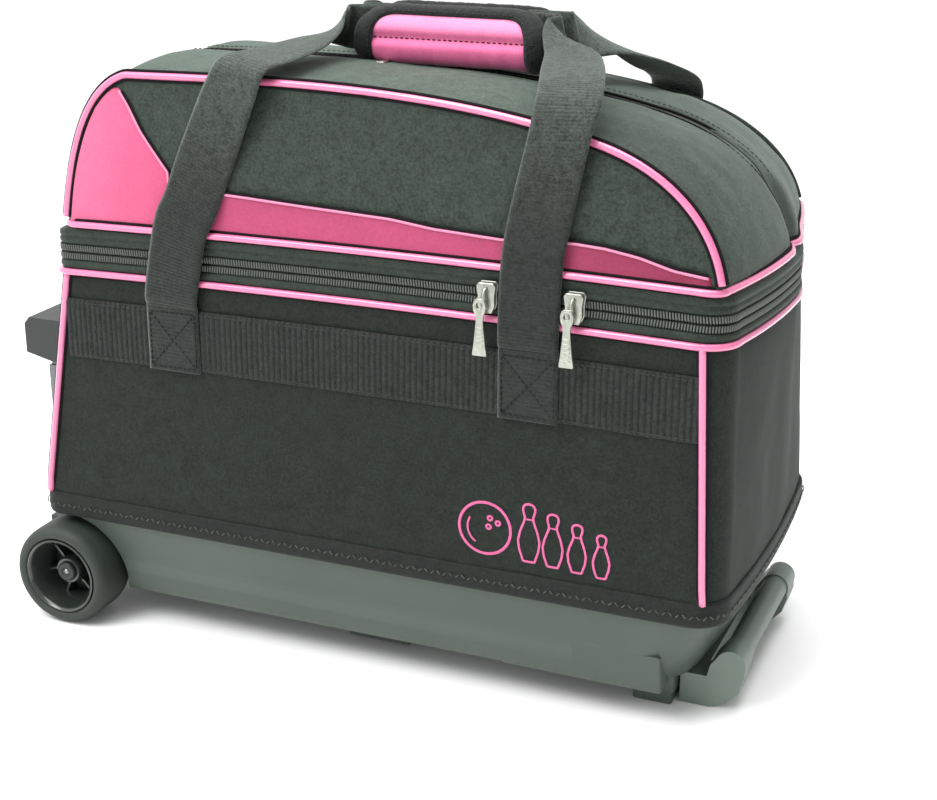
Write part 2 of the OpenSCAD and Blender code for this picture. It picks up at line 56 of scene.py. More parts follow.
# ---- sizes in millimetres, the same as the model's
HALF_W = 119.0
BODY_X0, BODY_X1 = -197.0, 250.0
BASE_Z, RIM_Z, LID_Z = 84.0, 254.0, 286.0
ZIP_Z = 267.0
LID_X0, LID_X1 = -188.0, 244.0
LID_MID = (LID_X0 + LID_X1) / 2
LID_RISE = 98.0
FRONT_LEAN, BACK_LEAN = 11.0, 19.0
CROWN, BACK_DROP = 0.08, 0.095
PIPING_R = 2.2
BAND_Z0, BAND_Z1 = 196.0, 236.0
STRAP_X = (-111.0, 132.0)
STRAP_W = 38.0
SLIDER_X = {"left": 106.0, "right": 160.0}
PULL_OFFSET = 2.0
SLEEVE_X0, SLEEVE_X1 = -27.0, 104.0
HUB_X, WHEEL_R = -210.0, 36.0
TRAY_Z = 22.0

# ---- sizes in millimetres of what only this skin has
SPLAY = 29.0  # how far the body's lower left end stands out; 25 in the model
WALL = 2.6
TRAY_WALL = 3.0
ZIP_LIFT = 3.0
NOTCH, NOTCH_Y = 6.0, 4.0


# ---- small maths
def lerp(a, b, t):
    return a + (b - a) * t


def smooth(t):
    """0 below 0, 1 above 1, and a soft step between."""
    t = np.clip(t, 0.0, 1.0)
    return t * t * (3 - 2 * t)


def unit(v):
    v = np.asarray(v, float)
    return v / np.maximum(np.linalg.norm(v, axis=-1, keepdims=True), 1e-9)


def rough(points, size, seed=0.0):
    """Smooth noise from -1 to 1 at points in mm, with lumps of about that size."""
    flat = np.asarray(points, float).reshape(-1, 3) / size + seed
    values = np.array([noise.noise(Vector(p)) for p in flat])
    return values.reshape(np.asarray(points).shape[:-1])


def distances(path):
    """Distance of each point of a path from its start."""
    steps = np.linalg.norm(np.diff(path, axis=0), axis=1)
    return np.concatenate([[0], np.cumsum(steps)])


def resample(path, count, closed=False):
    """The path as count points, evenly spaced along it."""
    path = np.asarray(path, float)
    if closed:
        path = np.vstack([path, path[:1]])
    along = distances(path)
    at = np.linspace(0, along[-1], count + 1)[:-1] if closed else np.linspace(0, along[-1], count)
    return np.stack([np.interp(at, along, path[:, k]) for k in range(path.shape[1])], 1)


def catmull(points, per_span):
    """Smooth curve through points of any dimension."""
    p = np.asarray(points, float)
    p = np.vstack([2 * p[0] - p[1], p, 2 * p[-1] - p[-2]])
    out = []
    for i in range(1, len(p) - 2):
        for k in range(per_span):
            t = k / per_span
            out.append(0.5 * (2 * p[i] + (p[i + 1] - p[i - 1]) * t
                              + (2 * p[i - 1] - 5 * p[i] + 4 * p[i + 1] - p[i + 2]) * t ** 2
                              + (3 * p[i] - p[i - 1] - 3 * p[i + 1] + p[i + 2]) * t ** 3))
    out.append(p[-2])
    return np.array(out)


def length(path):
    return float(np.linalg.norm(np.diff(path, axis=0), axis=1).sum())


def turn(count):
    """Angles round a full turn."""
    return np.linspace(0, 2 * math.pi, count, endpoint=False)


def at_height(outline, z):
    """An outline in X and Y as points at height z."""
    return np.column_stack([outline, np.full(len(outline), z)])


def outward_of(loop):
    """Directions along a closed outline and straight out of it."""
    along = unit(np.roll(loop, -1, 0) - np.roll(loop, 1, 0))
    return np.stack([along[:, 1], -along[:, 0]], 1)


# ---- outlines, seen from above and anticlockwise
def arc(cx, cy, r, a0, a1, n=12):
    a = np.radians(np.linspace(a0, a1, n))
    return np.stack([cx + r * np.cos(a), cy + r * np.sin(a)], 1)


def bowed_end(x, depth, y0, y1, n=24):
    t = np.linspace(-1, 1, n)[1:-1]
    return np.stack([x + depth * (1 - t * t), lerp(y0, y1, (t + 1) / 2)], 1)


def plan(x0, x1, hw, r0, r1, bow0, bow1):
    """Rounded rectangle of half width hw, with radii r0 and r1 and bowed ends at x0 and x1."""
    return np.vstack([
        arc(x1 - r1, r1 - hw, r1, -90, 0),
        bowed_end(x1, bow1, r1 - hw, hw - r1),
        arc(x1 - r1, hw - r1, r1, 0, 90),
        arc(x0 + r0, hw - r0, r0, 90, 180),
        bowed_end(x0, -bow0, hw - r0, r0 - hw),
        arc(x0 + r0, r0 - hw, r0, 180, 270)])


def pull_in(outline, depth):
    """The right end is slacker at the back, so it stands less far out there."""
    out = np.array(outline, float)
    out[:, 0] -= depth * smooth(out[:, 1] / 60) * smooth((out[:, 0] - 225) / 20)
    return out


def body_outline(z, d=0.0):
    k = (z - BASE_Z) / (RIM_Z - BASE_Z)
    low = plan(BODY_X0 - SPLAY + d, BODY_X1 + 4 - d, HALF_W - d, 12, 22, 4, 4)
    top = plan(BODY_X0 + d, BODY_X1 - d, HALF_W - d, 9, 22, 6, 10.6)
    return pull_in(lerp(low, top, k), 8 * k)


def lid_outline(d=0.0):
    """The lid's rim; the top zip's end pulls a dent into its right end."""
    out = pull_in(plan(LID_X0 + d, LID_X1 - d, HALF_W - d, 9, 9, 7, 15), 7)
    dent = NOTCH * np.exp(-((out[:, 1] - NOTCH_Y) / 9) ** 2)
    out[:, 0] -= dent * (out[:, 0] > 200)
    return out


def zip_outline(d=0.0):
    """The line of the coil, which stands out further than the lid's rim."""
    return pull_in(plan(-198.5 + d, 251 - d, HALF_W + 0.3 - d, 9, 20, 6, 11), 8)


def tray_outline(z, d=0.0):
    top = plan(BODY_X0 - SPLAY + d, BODY_X1 - 3 - d, HALF_W - 2 - d, 28, 28, 4, 11)
    low = plan(BODY_X0 - 28 + d, 230 - d, 108 - d, 16, 52, 2, 2)
    share = 1 - max(1 - (z - TRAY_Z - 4) / (BASE_Z - TRAY_Z - 4), 0.0) ** 1.5
    return lerp(low, top, share)


def share_of_lift(x):
    """How much of ZIP_LIFT the zip line has at x: 1 in the middle of the bag, 0 at its ends."""
    return 1 - ((x - 24) / 224) ** 2


def lift(points):
    """The zip line and its pipings rise a little towards the middle of the bag."""
    p = np.array(points, float)
    across = share_of_lift(p[..., 0])
    share = smooth((p[..., 2] - BASE_Z) / (RIM_Z - BASE_Z)) * (1 - smooth((p[..., 2] - LID_Z) / 90))
    p[..., 2] += ZIP_LIFT * np.clip(across, 0, 1) * share
    return p


# ---- the lid's surface
def bezier(p, n):
    t = np.linspace(0, 1, n + 1)[:-1, None]
    p = np.asarray(p, float)
    return (p[0] * (1 - t) ** 3 + p[1] * 3 * t * (1 - t) ** 2
            + p[2] * 3 * t * t * (1 - t) + p[3] * t ** 3)


ARCH = resample(np.vstack([
    bezier([[LID_X0, 0], [-185, 40], [-176, 86], [-144, 95.5]], 60),
    bezier([[-144, 95.5], [-60, 97], [60, 102], [160, 77]], 80),
    bezier([[160, 77], [205, 67], [238, 39], [LID_X1, 0]], 60),
    [[LID_X1, 0]]]), 240)
ARCH_LENGTH = length(ARCH)
FLANK = 90.0


def lid_surface(x, rise, t):
    """A point of the lid's skin over arch place (x, rise), across the lid from t = -1 to 1."""
    h = rise / LID_RISE
    u = (t + 1) / 2
    bowed = (1 - t * t) * np.where(x < LID_MID, -7, 15) * np.abs(x - LID_MID) / 216
    right = smooth((x - 60) / 160)
    bowed = bowed - 8 * smooth(t * 2) * right
    bowed = bowed - NOTCH * np.exp(-((t - 0.035) * 13) ** 2) * smooth((x - 215) / 25)
    y = lerp(-HALF_W + FRONT_LEAN * h, HALF_W - BACK_LEAN * h, u)
    z = LID_Z + rise * (1 + CROWN * (1 - t * t) - BACK_DROP * u)
    return np.stack(np.broadcast_arrays(x + bowed, y, z), -1)


def arch_top(x):
    """Height of the front arch above the rim at x."""
    order = np.argsort(ARCH[:, 0])
    return np.interp(x, ARCH[order, 0], ARCH[order, 1])


# ---- meshes
def add_mesh(name, verts, faces, outward=None):
    """A mesh object from vertices in mm; its faces look away from the point outward."""
    mesh = bpy.data.meshes.new(name)
    verts = np.asarray(verts, float).reshape(-1, 3)
    mesh.from_pydata((verts * MM).tolist(), [], faces)
    mesh.validate()
    obj = bpy.data.objects.new(name, mesh)
    bpy.context.scene.collection.objects.link(obj)
    bm = bmesh.new()
    bm.from_mesh(mesh)
    bmesh.ops.remove_doubles(bm, verts=bm.verts, dist=1e-6)
    if outward is None:
        bmesh.ops.recalc_face_normals(bm, faces=bm.faces)
    else:
        centre = Vector(outward) * MM
        facing = sum(f.calc_area() * f.normal.dot(f.calc_center_median() - centre) for f in bm.faces)
        if facing < 0:
            bmesh.ops.reverse_faces(bm, faces=bm.faces)
    bm.to_mesh(mesh)
    bm.free()
    mesh.polygons.foreach_set("use_smooth", [True] * len(mesh.polygons))
    return obj


def grid_faces(rows, columns, close_rows=False, close_columns=False):
    faces = []
    for i in range(rows if close_rows else rows - 1):
        for j in range(columns if close_columns else columns - 1):
            a, b = i * columns + j, i * columns + (j + 1) % columns
            c, d = (i + 1) % rows * columns + (j + 1) % columns, (i + 1) % rows * columns + j
            faces.append((a, b, c, d))
    return faces


def add_modifier(obj, kind, **settings):
    modifier = obj.modifiers.new(kind.title(), kind)
    for key, value in settings.items():
        setattr(modifier, key, value)
    return modifier


def round_edges(obj, radius, segments=3, degrees=30, **settings):
    """Bevel in mm on the edges that turn by more than some degrees."""
    add_modifier(obj, "BEVEL", width=radius * MM, segments=segments, limit_method="ANGLE",
                 angle_limit=math.radians(degrees), **settings)


def paint(obj, material):
    """Gives an object one of the MATERIALS."""
    obj.data.materials.clear()
    obj.data.materials.append(MATERIALS[material])


def place(obj, material, slot, body, *nodes):
    """Gives a finished piece its material, body and the nodes it stands for; its record slot is not used."""
    paint(obj, material)
    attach(obj, body)
    if nodes:
        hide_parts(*nodes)


def place_across(obj, material, slot, bodies, start, end, *nodes):
    """As place, for cloth that spans two bodies, but attached to neither and so bending with neither; slot,
    bodies, start and end in mm are not used.
    """
    paint(obj, material)
    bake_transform(obj)
    if nodes:
        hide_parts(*nodes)


def cloth_sheet(name, grid, thickness=WALL, outward=(25, 0, 200)):
    """Cloth with thickness: a grid of points on its outer face, thickened inwards."""
    rows, columns = grid.shape[:2]
    obj = add_mesh(name, grid, grid_faces(rows, columns), outward)
    add_modifier(obj, "SOLIDIFY", thickness=thickness * MM, offset=-1, use_rim=True)
    return obj


def sweep(name, sections, closed=True):
    """Closed profiles, one after another along a path, as one skin with capped ends."""
    sections = np.asarray(sections, float)
    rows, columns = sections.shape[:2]
    faces = grid_faces(rows, columns, close_rows=closed, close_columns=True)
    if not closed:
        faces.append(tuple(range(columns)))
        faces.append(tuple(range((rows - 1) * columns, rows * columns)))
    return add_mesh(name, sections, faces)


def frames(path, closed, up=(0, 0, 1)):
    """Tangent, side and up directions along a path."""
    if closed:
        tangent = np.roll(path, -1, 0) - np.roll(path, 1, 0)
    else:
        tangent = np.gradient(path, axis=0)
    tangent = unit(tangent)
    side = unit(np.cross(tangent, np.broadcast_to(np.asarray(up, float), tangent.shape)))
    return tangent, side, np.cross(side, tangent)


def tube(name, path, radius, closed, up=(0, 0, 1), sides=12, lumps=0.03):
    path = np.asarray(path, float)
    _, side, top = frames(path, closed, up)
    r = radius * (1 + lumps * rough(path, 9, 3.7))
    a = turn(sides)
    ring = (np.cos(a)[None, :, None] * side[:, None] + np.sin(a)[None, :, None] * top[:, None])
    return sweep(name, path[:, None] + r[:, None, None] * ring, closed)


def threads(name, starts, ends, radius, sides=6):
    """Many short round-ended threads or teeth as one mesh."""
    p0, p1 = np.asarray(starts, float), np.asarray(ends, float)
    axis = unit(p1 - p0)
    helper = np.where(np.abs(axis[:, 2:3]) > 0.8, [[0.0, 1.0, 0.0]], [[0.0, 0.0, 1.0]])
    side = unit(np.cross(axis, helper))
    top = np.cross(side, axis)
    a = turn(sides)
    rings = []
    for t, share in ((0, 0.45), (0.14, 1), (0.86, 1), (1, 0.45)):
        centre = lerp(p0, p1, t)[:, None]
        rings.append(centre + radius * share * (np.cos(a)[None, :, None] * side[:, None]
                                                + np.sin(a)[None, :, None] * top[:, None]))
    verts = np.stack(rings, 1)
    count = 4 * sides
    faces = []
    one = grid_faces(4, sides, close_columns=True)
    one += [tuple(range(sides))[::-1], tuple(range(3 * sides, count))]
    for n in range(len(p0)):
        faces += [tuple(k + n * count for k in f) for f in one]
    return add_mesh(name, verts, faces)


def rounded_box(name, low, high, radius, segments=3):
    low, high = np.array(low, float), np.array(high, float)
    corners = [[(low, high)[i][0], (low, high)[j][1], (low, high)[k][2]]
               for i in (0, 1) for j in (0, 1) for k in (0, 1)]
    faces = [(0, 1, 3, 2), (4, 6, 7, 5), (0, 4, 5, 1), (2, 3, 7, 6), (0, 2, 6, 4), (1, 5, 7, 3)]
    obj = add_mesh(name, corners, faces)
    add_modifier(obj, "BEVEL", width=radius * MM, segments=segments)
    return obj


def prism(name, outline, y0, y1, bevel=0.0, segments=3):
    """Upright plate: an outline in X and Z, from y0 to y1."""
    outline = np.asarray(outline, float)
    n = len(outline)
    verts = [[x, y, z] for y in (y0, y1) for x, z in outline]
    faces = [tuple(range(n)), tuple(range(n, 2 * n))[::-1]]
    faces += [(i, (i + 1) % n, n + (i + 1) % n, n + i) for i in range(n)]
    obj = add_mesh(name, verts, faces)
    if bevel:
        round_edges(obj, bevel, segments)
    return obj


def join(name, pieces):
    """Several new pieces as one object, with their modifiers applied."""
    graph = bpy.context.evaluated_depsgraph_get()
    bm = bmesh.new()
    for piece in pieces:
        mesh = bpy.data.meshes.new_from_object(piece.evaluated_get(graph))
        mesh.transform(piece.matrix_world)
        bm.from_mesh(mesh)
        bpy.data.meshes.remove(mesh)
        bpy.data.objects.remove(piece)
    mesh = bpy.data.meshes.new(name)
    bm.to_mesh(mesh)
    bm.free()
    obj = bpy.data.objects.new(name, mesh)
    bpy.context.scene.collection.objects.link(obj)
    return obj


def mirrored(obj, name):
    """A copy of a new piece on the other side of the bag."""
    copy = obj.copy()
    copy.data = obj.data.copy()
    copy.name = name
    bpy.context.scene.collection.objects.link(copy)
    bm = bmesh.new()
    bm.from_mesh(copy.data)
    for v in bm.verts:
        v.co.y = -v.co.y
    bmesh.ops.reverse_faces(bm, faces=bm.faces)
    bm.to_mesh(copy.data)
    bm.free()
    return copy


# ---- materials
WHITE = (1, 1, 1, 1)


def rgb(r, g, b):
    """Linear colour from display values 0 to 255."""
    def linear(c):
        c /= 255
        return c / 12.92 if c <= 0.04045 else ((c + 0.055) / 1.055) ** 2.4
    return (linear(r), linear(g), linear(b), 1.0)


class Shader:
    """A node material made step by step around one Principled shader."""

    def __init__(self, name):
        self.material = bpy.data.materials.new(name)
        self.material.use_nodes = True
        self.nodes = self.material.node_tree.nodes
        self.links = self.material.node_tree.links
        self.bsdf = self.nodes["Principled BSDF"]
        self.point = self.add("ShaderNodeTexCoord").outputs["Object"]

    def add(self, kind, inputs=None, **settings):
        """A new node; inputs gives a value or another node's output for each named socket."""
        node = self.nodes.new(kind)
        for key, value in settings.items():
            setattr(node, key, value)
        for key, value in (inputs or {}).items():
            self.feed(node.inputs[key], value)
        return node

    def feed(self, socket, value):
        if isinstance(value, bpy.types.NodeSocket):
            self.links.new(value, socket)
        else:
            socket.default_value = value

    def math(self, operation, a, b=0.0, c=0.0):
        return self.add("ShaderNodeMath", {0: a, 1: b, 2: c}, operation=operation).outputs[0]

    def noise(self, scale, detail=3.0, roughness=0.5, stretch=(1, 1, 1)):
        mapping = self.add("ShaderNodeMapping", {"Vector": self.point, "Scale": stretch})
        settings = {"Vector": mapping.outputs[0], "Scale": scale, "Detail": detail, "Roughness": roughness}
        return self.add("ShaderNodeTexNoise", settings).outputs["Fac"]

    def weave(self, pitch):
        """Two crossing sets of threads on any face of the bag, pitch in mm."""
        wander = self.add("ShaderNodeTexNoise", {"Vector": self.point, "Scale": 130})
        reach = (4.5 * MM,) * 3
        moved = self.add("ShaderNodeVectorMath", {0: wander.outputs["Color"], 1: reach, 2: self.point},
                         operation="MULTIPLY_ADD")
        k = 2 * math.pi / (pitch * MM)
        waves = [self.math("SINE", self.math("MULTIPLY", part, k)) for part in self.split(moved.outputs[0])]
        pairs = [self.math("MULTIPLY", waves[i], waves[j]) for i, j in ((0, 2), (1, 2), (0, 1))]
        total = self.math("ADD", self.math("ADD", pairs[0], pairs[1]), pairs[2])
        return self.math("MULTIPLY_ADD", total, 0.25, 0.5)

    def split(self, vector):
        return self.add("ShaderNodeSeparateXYZ", {0: vector}).outputs

    def colours(self, factor, *stops):
        """Colour ramp over factor; stops are (position, colour)."""
        node = self.add("ShaderNodeValToRGB", {0: factor})
        ramp = node.color_ramp
        while len(ramp.elements) < len(stops):
            ramp.elements.new(0.5)
        for element, (position, colour) in zip(ramp.elements, stops):
            element.position = position
            element.color = colour
        return node.outputs[0]

    def mix(self, factor, a, b, blend="MIX"):
        node = self.add("ShaderNodeMix", {0: factor, 6: a, 7: b}, data_type="RGBA", blend_type=blend)
        return node.outputs[2]

    def spread(self, factor, low, high):
        return self.add("ShaderNodeMapRange", {0: factor, 3: low, 4: high}).outputs[0]

    def fade(self, base, axis, start, end, tint):
        """Painted light and shade: base multiplied by a tint that comes in along an axis, from start to end
        in mm.
        """
        along = self.split(self.point)["XYZ".index(axis)]
        node = self.add("ShaderNodeMapRange", {0: along, 1: start * MM, 2: end * MM},
                        interpolation_type="SMOOTHSTEP")
        return self.mix(node.outputs[0], base, tint, "MULTIPLY")

    def ribs(self, base, axis, pitch, origin, dark):
        """Painted shade: base darkened in the valleys of a row of ribs along an axis, in mm."""
        along = self.split(self.point)["XYZ".index(axis)]
        phase = self.math("MULTIPLY_ADD", along, math.pi / (pitch * MM), -math.pi * origin / pitch)
        crest = self.math("POWER", self.math("ABSOLUTE", self.math("SINE", phase)), 0.8)
        return self.mix(self.spread(crest, 1.0, 0.0), base, shade(WHITE, dark), "MULTIPLY")

    def bumps(self, *layers):
        """Bump layers (height, distance in mm, strength), the last one on top."""
        normal = None
        for height, distance, strength in layers:
            settings = {"Height": height, "Distance": distance * MM, "Strength": strength}
            node = self.add("ShaderNodeBump", settings)
            if normal is not None:
                self.links.new(normal, node.inputs["Normal"])
            normal = node.outputs[0]
        self.links.new(normal, self.bsdf.inputs["Normal"])

    def set(self, **values):
        for key, value in values.items():
            self.feed(self.bsdf.inputs[key.replace("_", " ")], value)
        return self.material


def shade(colour, factor):
    """The colour made darker or paler."""
    return (colour[0] * factor, colour[1] * factor, colour[2] * factor, 1.0)


def woven(name, colour, pitch, depth, roughness, sheen, contrast, mottle=90, sheen_tint=WHITE,
          painted_light_ramps=(), ribs=None, coat=0.0):
    """Woven cloth: threads, mottled dye and a soft sheen, with ramps of painted light and painted shade
    between ribs where given.
    """
    s = Shader(name)
    threads_height = s.weave(pitch)
    fine = s.noise(560, 3, 0.6)
    blotch = s.noise(mottle, 5, 0.65)
    broad = s.noise(9, 3)
    tone = s.math("ADD", s.math("MULTIPLY", fine, 0.5), s.math("MULTIPLY", threads_height, 0.15))
    tone = s.math("ADD", tone, s.math("MULTIPLY", blotch, 0.35))
    base = s.colours(tone, (0.36, shade(colour, 1 - contrast)), (0.64, shade(colour, 1 + contrast)))
    base = s.mix(s.spread(broad, 0.0, 0.3), base, shade(colour, 0.72))
    # painted light: each ramp makes the cloth lighter or darker along an axis, as the light falls on it
    for fade in painted_light_ramps:
        base = s.fade(base, *fade)
    # painted shade in the valleys between the ribs
    if ribs:
        base = s.ribs(base, *ribs)
    s.bumps((broad, 1.5, 0.2), (blotch, 0.5, 0.35), (threads_height, depth, 0.6), (fine, depth, 0.5))
    return s.set(Base_Color=base, Roughness=s.spread(blotch, roughness - 0.06, roughness + 0.08),
                 Sheen_Weight=sheen, Sheen_Roughness=0.45, Sheen_Tint=sheen_tint,
                 Specular_IOR_Level=0.22 + coat / 2, Coat_Weight=coat, Coat_Roughness=0.22)


def plastic(name, colour, roughness, grain, specular=0.5, wear=0.25):
    """Moulded plastic: fine grain, faint flow marks and paler rubbed edges."""
    s = Shader(name)
    fine = s.noise(grain, 2)
    cloud = s.noise(14, 4, 0.6)
    scratch = s.noise(60, 6, 0.75, stretch=(1, 1, 7))
    edge = s.add("ShaderNodeNewGeometry").outputs["Pointiness"]
    rubbed = s.math("MULTIPLY", s.colours(edge, (0.52, (0, 0, 0, 1)), (0.6, WHITE)), wear)
    base = s.colours(cloud, (0.3, shade(colour, 0.9)), (0.7, shade(colour, 1.1)))
    base = s.mix(rubbed, base, shade(colour, 1.9))
    s.bumps((cloud, 0.5, 0.08), (scratch, 0.08, 0.12), (fine, 0.09, 0.35))
    return s.set(Base_Color=base, Roughness=s.spread(scratch, roughness - 0.08, roughness + 0.1),
                 Specular_IOR_Level=specular)


def metal(name, colour, roughness, brush, depth=0.06):
    """Plated or drawn metal: fine streaks, longest where brush is smallest, and faint spots."""
    s = Shader(name)
    streaks = s.noise(240, 5, 0.7, stretch=brush)
    spots = s.noise(420, 3)
    base = s.colours(spots, (0.35, shade(colour, 0.82)), (0.65, colour))
    s.bumps((streaks, depth, 0.3), (spots, depth, 0.25))
    rubbed = s.spread(streaks, roughness - 0.08, roughness + 0.14)
    return s.set(Base_Color=base, Metallic=1.0, Roughness=rubbed)


def rubber(name, colour):
    """Tyre rubber with a little dust."""
    s = Shader(name)
    dust = s.noise(35, 6, 0.7)
    fine = s.noise(900, 2)
    base = s.colours(dust, (0.35, colour), (0.75, shade(colour, 1.7)))
    s.bumps((dust, 0.2, 0.15), (fine, 0.12, 0.5))
    return s.set(Base_Color=base, Roughness=s.spread(dust, 0.5, 0.72), Specular_IOR_Level=0.4)


CHARCOAL = rgb(26, 32, 28)
PINK_SHEEN = (1, 0.78, 0.88, 1)
GREEN_SHEEN = (0.85, 1, 0.9, 1)
# Cloths give their thread pitch and bump depth in mm, roughness, sheen, contrast, the mottle's scale,
# the sheen's tint and ramps of painted light; plastics their roughness, grain scale, specular level and wear.
MATERIALS = {
    "body_fabric": woven("body_fabric_cloth", CHARCOAL, 0.9, 0.25, 0.75, 0.06, 0.75, 120, GREEN_SHEEN),
    # Painted light: the lid's cloth is the body's cloth painted paler, as the lid leans up into the top
    # light.
    "lid_fabric": woven("lid_fabric_cloth", rgb(45, 54, 48), 0.9, 0.25, 0.7, 0.15, 0.7, 120, GREEN_SHEEN),
    # Painted light: the gusset is the lid's cloth, painted paler still towards its top, from 352 to 385 mm
    # up.
    "gusset_fabric": woven("gusset_fabric_cloth", rgb(46, 55, 49), 0.9, 0.25, 0.7, 0.2, 0.65, 120,
                           GREEN_SHEEN, [("Z", 352, 385, (1.75, 1.8, 1.75, 1))]),
    "lining": woven("lining_cloth", rgb(30, 32, 33), 0.7, 0.1, 0.8, 0.15, 0.25),
    # Painted light and shade: the corner patch and the sweep are one pink satin; the corner's is painted
    # paler, and darker from x -190 to -105.
    "pink_corner": woven("pink_corner_satin", rgb(206, 98, 134), 0.6, 0.07, 0.5, 0.2, 0.12, 60, PINK_SHEEN,
                         [("X", -190, -105, (0.88, 0.66, 0.76, 1))]),
    # Painted shade: the sweep's pink is the same satin painted darker, and darker still from x 60 to 225.
    "pink": woven("pink_satin_painted_shade", rgb(168, 66, 102), 0.6, 0.07, 0.5, 0.13, 0.14, 60, PINK_SHEEN,
                  [("X", 60, 225, (0.6, 0.48, 0.52, 1))]),
    "pink_edge": woven("pink_edge_satin", rgb(216, 132, 164), 0.6, 0.05, 0.4, 0.2, 0.1, 60, PINK_SHEEN),
    # Painted highlight: the sleeve's pink is painted paler towards its top, from 399 to 416 mm up.
    "sleeve_pink": woven("sleeve_pink_cloth", rgb(232, 112, 160), 0.6, 0.08, 0.55, 0.3, 0.1, 60, PINK_SHEEN,
                         [("Z", 399, 416, (1.0, 1.5, 1.2, 1))]),
    "piping": woven("piping_vinyl", rgb(216, 108, 152), 1.6, 0.05, 0.24, 0.15, 0.06, 120, PINK_SHEEN,
                    coat=0.9),
    # Painted light: the straps are painted about three times brighter from 290 to 400 mm up, towards the top
    # light.
    "webbing": woven("webbing_weave", rgb(28, 31, 29), 1.25, 0.3, 0.6, 0.3, 0.95, 160, GREEN_SHEEN,
                     [("Z", 290, 400, (3.0, 3.1, 3.0, 1))]),
    "binding": woven("binding_tape", rgb(24, 26, 25), 1.5, 0.8, 0.7, 0.12, 0.9, 260),
    # Painted shade: the band is darkened in the valleys between its ribs, 3.9 mm apart.
    "band": woven("band_weave", rgb(34, 38, 35), 1.25, 0.3, 0.65, 0.08, 0.9, 160, GREEN_SHEEN,
                  ribs=("X", 3.9, -193.5, 0.3)),
    "base_binding": woven("base_binding_weave", rgb(24, 28, 25), 1.25, 0.3, 0.65, 0.08, 0.7, 160,
                          GREEN_SHEEN),
    "tape": woven("tape_weave", rgb(38, 46, 40), 0.8, 0.15, 0.62, 0.12, 0.6, 120, GREEN_SHEEN),
    # Painted shade: near-black cloth for the tubes that stand for the shade beside pipings and in seams.
    "seam": woven("seam_shadow_cloth", rgb(17, 10, 13), 0.8, 0.1, 0.9, 0.0, 0.3),
    "coil": plastic("coil_nylon", rgb(58, 62, 58), 0.4, 700, 0.5, 0.9),
    "thread": woven("thread_black", rgb(42, 46, 43), 0.5, 0.06, 0.5, 0.1, 0.4),
    "box_thread": woven("thread_dark", rgb(14, 16, 15), 0.5, 0.06, 0.6, 0.05, 0.3),
    "pale_thread": woven("thread_grey", rgb(62, 69, 64), 0.5, 0.06, 0.5, 0.15, 0.6),
    "dark_thread": woven("thread_plum", rgb(70, 22, 44), 0.5, 0.06, 0.6, 0.1, 0.2),
    "pink_thread": woven("thread_pink", rgb(216, 104, 154), 0.5, 0.06, 0.4, 0.2, 0.15),
    "base_plastic": plastic("base_plastic_moulded", rgb(61, 72, 64), 0.42, 1100),
    # Painted reflection: the grab bar is the base plastic painted paler, for the light it reflects.
    "bar_plastic_painted_reflection": plastic("bar_plastic_moulded", rgb(96, 108, 99), 0.4, 1100),
    "dark_plastic": plastic("dark_plastic_moulded", rgb(30, 33, 32), 0.45, 1000),
    "hub_plastic": plastic("hub_plastic_moulded", rgb(38, 43, 40), 0.22, 900, 0.8, 0.5),
    "tyre": rubber("tyre_rubber", rgb(38, 44, 40)),
    "nickel": metal("nickel_plate", rgb(170, 173, 162), 0.34, (1, 1, 3), 0.12),
    "steel": metal("steel_zinc", rgb(150, 152, 150), 0.34, (1, 3, 1)),
    "aluminium": metal("aluminium_anodised", rgb(112, 116, 114), 0.32, (4, 4, 0.3)),
    "padding": woven("padding_tricot", rgb(60, 63, 66), 1.4, 0.2, 0.85, 0.2, 0.2),
}


# ---- the body's cloth
def seam_x(z):
    """Left and right corner seams of the front and back panels."""
    k = (z - 96) / 154
    return lerp(-220.0, -191.6, k), lerp(242.0, 235.2, k)


def near(distance, reach):
    """0 on a seam, 1 well away from it."""
    return 1 - np.exp(-np.maximum(distance, 0) / reach)


def side_puff(x, z, seed=0.0):
    """How far the front panel stands out of its flat plane."""
    left, right = seam_x(z)
    u = np.clip((x - left) / (right - left), 0, 1)
    v = np.clip((z - 92) / (RIM_Z - 92), 0, 1)
    edge = near(x - left, 6) * near(right - x, 6) * near(z - 90, 7) * near(RIM_Z + 1 - z, 5)
    p = np.stack(np.broadcast_arrays(x, 0 * x, z), -1)
    folds = 0.9 * rough(p * [1, 1, 1.6], 70, seed) + 0.35 * rough(p * [1, 1, 2.2], 26, seed + 5)
    return edge * (0.9 + 1.7 * 16 * u * (1 - u) * v * (1 - v) + folds)


def make_body_sides():
    z = np.linspace(BASE_Z + 2, RIM_Z + 1, 84)[:, None]
    left, right = seam_x(z)
    x = lerp(left, right, np.linspace(0, 1, 190)[None, :])
    z = np.broadcast_to(z, x.shape)
    for sign, name, seed in ((-1, "front", 0.0), (1, "back", 40.0)):
        grid = lift(np.stack([x, sign * (HALF_W + side_puff(x, z, seed)), z], -1))
        obj = cloth_sheet(f"body_{name}_cloth", grid)
        place(obj, "body_fabric", "body_fabric", "base", f"body_{name}_panel")


def end_rows(sign, z):
    """The end of the body's outline at height z, from the front seam round to the back one."""
    outline = body_outline(z)
    left, right = seam_x(z)
    cut = left if sign < 0 else right
    beyond = outline[(outline[:, 0] - cut) * sign > 0]
    start, end = [cut, -HALF_W], [cut, HALF_W]
    if sign < 0:
        centre = np.argmax(np.abs(np.diff(beyond[:, 1])) > 100) + 1
        beyond = beyond[::-1] if beyond[0, 1] > 0 else np.roll(beyond, -centre, 0)[::-1]
    return resample(np.vstack([[start], beyond, [end]]), 150)


